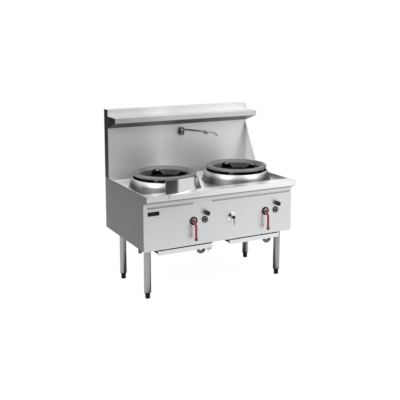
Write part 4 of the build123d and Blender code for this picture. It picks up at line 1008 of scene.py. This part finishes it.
class WOKRANGE_OT_drains(PlainOperator):
    """Dress the cast traps, add their bolts and plugs, and make the drain cock and its red handle"""

    bl_idname = "wokrange.drains"
    bl_label = "Drains"

    def execute(self, context):
        for side, x in TRAP_X.items():
            name = f"drain_trap_{side}"
            body = f"drip_tray_{side}"
            dress(name, "trap_iron", 0.0008)
            shape = Shape().prism(hexagon(6.5), 12.0, 16.5, facing_front(x, TRAP_Y, 332))
            shape.prism(hexagon(7.5), 11.5, 15.5, facing_front(x - 24, TRAP_Y, 318))
            shape.piece(f"trap_plugs_{side}", "trap_iron", body, "trap_cast", (), 0.0007)
        x, y, z = COCK
        shape = Shape()
        pipe = section((0, 300), (3.6, 300, 0.4), (5, 300.6, 0.6), (5, 311, 0.6), (5.8, 312, 0.4),
                       (5.8, 330, 0.4), (5, 331, 0.6), (5, 340.9), (0, 340.9), steps=3)
        shape.turn(pipe, upright(x, y, 0), steps=32)
        shape.prism(hexagon(8.9), 324.5, 331.5, upright(x, y, 0))
        ball = section((0, 309.6), (7.6, 309.6, 1), (9, 312, 1.5), (9, 323, 1.5), (7, 325, 1), (0, 325))
        shape.turn(ball, upright(x, y, 0), steps=40)
        shape.rod(2.5, 0, 15, facing(COCK, (1, 0, 0)), 20)
        shape.piece("cock_body", "bright_steel", "drip_tray_left", "valve_brass", ["drain_cock"], 0.0005)
        shape = Shape()
        blade = section((-20.8, -4, 3), (-16, -4), (4, -4, 2.6), (4, 4, 2.6), (-16, 4), (-20.8, 4, 3),
                        closed=True)
        seat = Matrix(((0, 0, 1, x + 10.5), (1, 0, 0, y), (0, 1, 0, z), (0, 0, 0, 1)))
        shape.prism(blade, 0, 3, seat)
        shape.dome(seat @ Matrix.Translation((0, 0, 3)), 2.9, 1.6, 0.6)
        shape.piece("cock_blade", "red_enamel", "cock_handle", "lever_red", ["cock_handle"], 0.0006)
        return {"FINISHED"}


# ---- trim ----
class WOKRANGE_OT_trim(PlainOperator):
    """Make the blank name plate with its raised border, and the front panel's three screws"""

    bl_idname = "wokrange.trim"
    bl_label = "Name plate and screws"

    def execute(self, context):
        shape = Shape()
        seat = facing_front(-527.0, PANEL_Y, 634.5)
        border = ((0, 5, 0), (0, 5, 1.5), (0.5, 4.6, 2.0), (1.9, 3.4, 2.0), (2.4, 3.0, 1.5))
        loops = []
        for inset, corner, height in border:
            wide, tall = 43.5 - inset, 14.5 - inset
            corners = [(-wide, -tall), (wide, -tall), (wide, tall), (-wide, tall)]
            line = rounded(corners, corner, closed=True, steps=6)
            loops.append(shape.loop([seat @ Vector((p[0], p[1], height)) for p in line]))
        for first, second in zip(loops, loops[1:]):
            shape.skin(first, second)
        shape.mesh.faces.new(loops[0])
        shape.mesh.faces.new(loops[-1])
        shape.piece("blank_plate", "plate_black", "range", "plate_black", ["name_plate"])
        shape = Shape()
        head = [(0, -12), (2.5, -12), (2.5, 0), (4, 0), (4, 0.9), (3.4, 1.8), (2.3, 2.3), (1.5, 2.4),
                (1.2, 1.3), (0, 1.3)]
        for x, z in ((-590, 404), (590, 404), (4, 706)):
            shape.turn(head, facing_front(x, PANEL_Y, z), steps=28)
        shape.piece("pan_screws", "bright_steel", "range", "screw_steel", ["panel_screws"])
        return {"FINISHED"}


# ---- studio, in metres ----
SEEN_WHITE = 1.05  # strength of the floor and the world where they are seen or reflected
CAMERA_AT = (-2.3709, -4.4750, 1.8373)
CAMERA_DOWN, CAMERA_ROLL, CAMERA_TURN = 8.807, -0.05, -27.958  # degrees
LENS, SHIFT_Y = 62.154, -0.1489  # millimetres, and share of the picture's width


def area_light(name, place, aim, size, watts):
    """A soft square lamp, turned towards a point."""
    lamp = bpy.data.lights.new(name, "AREA")
    lamp.shape, lamp.size, lamp.size_y, lamp.energy = "RECTANGLE", size, size, watts
    holder = bpy.data.objects.new(name, lamp)
    holder.location = place
    holder.rotation_mode = "QUATERNION"
    holder.rotation_quaternion = (Vector(aim) - Vector(place)).to_track_quat("-Z", "Y")
    bpy.context.scene.collection.objects.link(holder)


def seen_directly(board):
    """1 for camera, glossy and transmission rays, else 0."""
    rays = [board.add("ShaderNodeLightPath", output=f"Is {ray} Ray")
            for ray in ("Camera", "Glossy", "Transmission")]
    return rays[0].most(rays[1]).most(rays[2])


class WOKRANGE_OT_stage(PlainOperator):
    """Set the floor, the soft studio lights, the world and the camera"""

    bl_idname = "wokrange.stage"
    bl_label = "Studio"

    def execute(self, context):
        self.floor()
        self.world(context)
        area_light("key_light", (2.4, -3.6, 3.6), (0.2, -0.1, 0.6), 2.8, 84)
        area_light("fill_light", (-3.4, -1.6, 3.2), (-0.3, -0.2, 0.7), 2.0, 72)
        self.cards()
        self.camera(context)
        context.scene.view_settings.view_transform = "Standard"
        return {"FINISHED"}

    def floor(self):
        """A pale floor, white where it is seen, that keeps a faint shadow of the range."""
        bpy.ops.mesh.primitive_plane_add(size=60, location=(0, 0, -0.0006))
        floor = bpy.context.view_layer.objects.active
        floor.name = "studio_floor"
        board = Board("floor_paint")
        mottle = board.noise(0.8, detail=3.0)
        base = board.blend(mottle, (0.86, 0.86, 0.86), (0.90, 0.90, 0.90))
        paint = board.add("ShaderNodeBsdfDiffuse", values={"Color": base})
        glow = board.add("ShaderNodeEmission", values={"Color": (1, 1, 1), "Strength": SEEN_WHITE})
        share = seen_directly(board) * 0.92
        mixed = board.add("ShaderNodeMixShader", values={0: share, 1: paint, 2: glow})
        board.add("ShaderNodeOutputMaterial", values={"Surface": mixed})
        floor.data.materials.append(board.item)

    def cards(self):
        """Black cards that only reflections see, so that the bright metal gets its dark bands; the flat one
        under the range is a painted shadow on the floor.
        """
        board = Board("card_black")
        mottle = board.noise(2, detail=2.0)
        board.finish(board.blend(mottle, (0.02, 0.02, 0.02), (0.05, 0.05, 0.05)), 0.8)
        for name, low, high in (
            ("card_behind_camera", (-7.0, -6.5, 0.35), (2.6, -6.5, 3.0)),
            ("card_front", (-0.5, -3.0, 0.0), (1.35, -3.0, 1.1)),
            ("card_right", (2.1, -1.2, 0.0), (2.1, 2.0, 1.3)),
            ("card_far_left", (-7.0, -6.5, 0.2), (-7.0, 1.5, 2.8)),
            ("card_back_left", (-7.0, 4.5, 0.0), (-1.2, 4.5, 2.6)),
            # a painted shadow: a black sheet under the range that only reflections see
            ("painted_shadow_under_range", (-0.60, -0.38, 0.001), (0.60, 0.42, 0.001)),
        ):
            data = bpy.data.meshes.new(name)
            corners = [low, (high[0], high[1], low[2]), high, (low[0], low[1], high[2])]
            if low[2] == high[2]:  # the one that lies flat
                corners = [low, (high[0], low[1], low[2]), high, (low[0], high[1], low[2])]
            data.from_pydata(corners, [], [(0, 1, 2, 3)])
            card = bpy.data.objects.new(name, data)
            data.materials.append(board.item)
            bpy.context.scene.collection.objects.link(card)
            card.visible_camera = card.visible_diffuse = card.visible_shadow = False
            card.visible_transmission = card.visible_volume_scatter = False

    def world(self, context):
        """White where it is seen or reflected, and a dimmer, faintly blue light on the range."""
        board = Board("studio_world", "worlds")
        lit = board.add("ShaderNodeBackground", values={"Color": (0.9, 0.95, 1.0), "Strength": 0.68})
        seen = board.add("ShaderNodeBackground", values={"Color": (1, 1, 1), "Strength": SEEN_WHITE})
        mixed = board.add("ShaderNodeMixShader", values={0: seen_directly(board), 1: lit, 2: seen})
        board.add("ShaderNodeOutputWorld", values={"Surface": mixed})
        context.scene.world = board.item

    def camera(self, context):
        """The photograph's point of view."""
        data = bpy.data.cameras.new("camera")
        data.sensor_width, data.lens, data.shift_y = 36, LENS, SHIFT_Y
        holder = bpy.data.objects.new("camera", data)
        holder.location = CAMERA_AT
        holder.rotation_euler = (radians(90 - CAMERA_DOWN), radians(CAMERA_ROLL), radians(CAMERA_TURN))
        context.scene.collection.objects.link(holder)
        context.scene.camera = holder


class WOKRANGE_PT_panel(bpy.types.Panel):
    """Lists the steps that dress the wok range"""

    bl_label = "Wok range"
    bl_idname = "WOKRANGE_PT_panel"
    bl_space_type = "VIEW_3D"
    bl_region_type = "UI"
    bl_category = "Wok range"

    def draw(self, context):
        for group in (context.scene.range_sizes, context.scene.range_colours):
            for name in group.bl_rna.properties.keys():
                if name not in ("rna_type", "name"):
                    self.layout.prop(group, name)
        for step in STEPS:
            self.layout.operator(step.bl_idname)


STEPS = (
    WOKRANGE_OT_finishes,
    WOKRANGE_OT_sheet_metal,
    WOKRANGE_OT_chimney_rings,
    WOKRANGE_OT_wok_rings,
    WOKRANGE_OT_splash_guard,
    WOKRANGE_OT_legs,
    WOKRANGE_OT_gas_levers,
    WOKRANGE_OT_pilot_knobs,
    WOKRANGE_OT_igniters,
    WOKRANGE_OT_tap,
    WOKRANGE_OT_faucet,
    WOKRANGE_OT_drains,
    WOKRANGE_OT_trim,
    WOKRANGE_OT_stage,
)
CLASSES = (RangeSizes, RangeColours, *STEPS, WOKRANGE_PT_panel)


def register():
    for item in CLASSES:
        bpy.utils.register_class(item)
    bpy.types.Scene.range_sizes = PointerProperty(type=RangeSizes)
    bpy.types.Scene.range_colours = PointerProperty(type=RangeColours)


def unregister():
    del bpy.types.Scene.range_colours, bpy.types.Scene.range_sizes
    for item in reversed(CLASSES):
        bpy.utils.unregister_class(item)


def main():
    register()
    for step in STEPS:
        group, name = step.bl_idname.split(".")
        getattr(getattr(bpy.ops, group), name)()


if __name__ == "__main__":
    main()
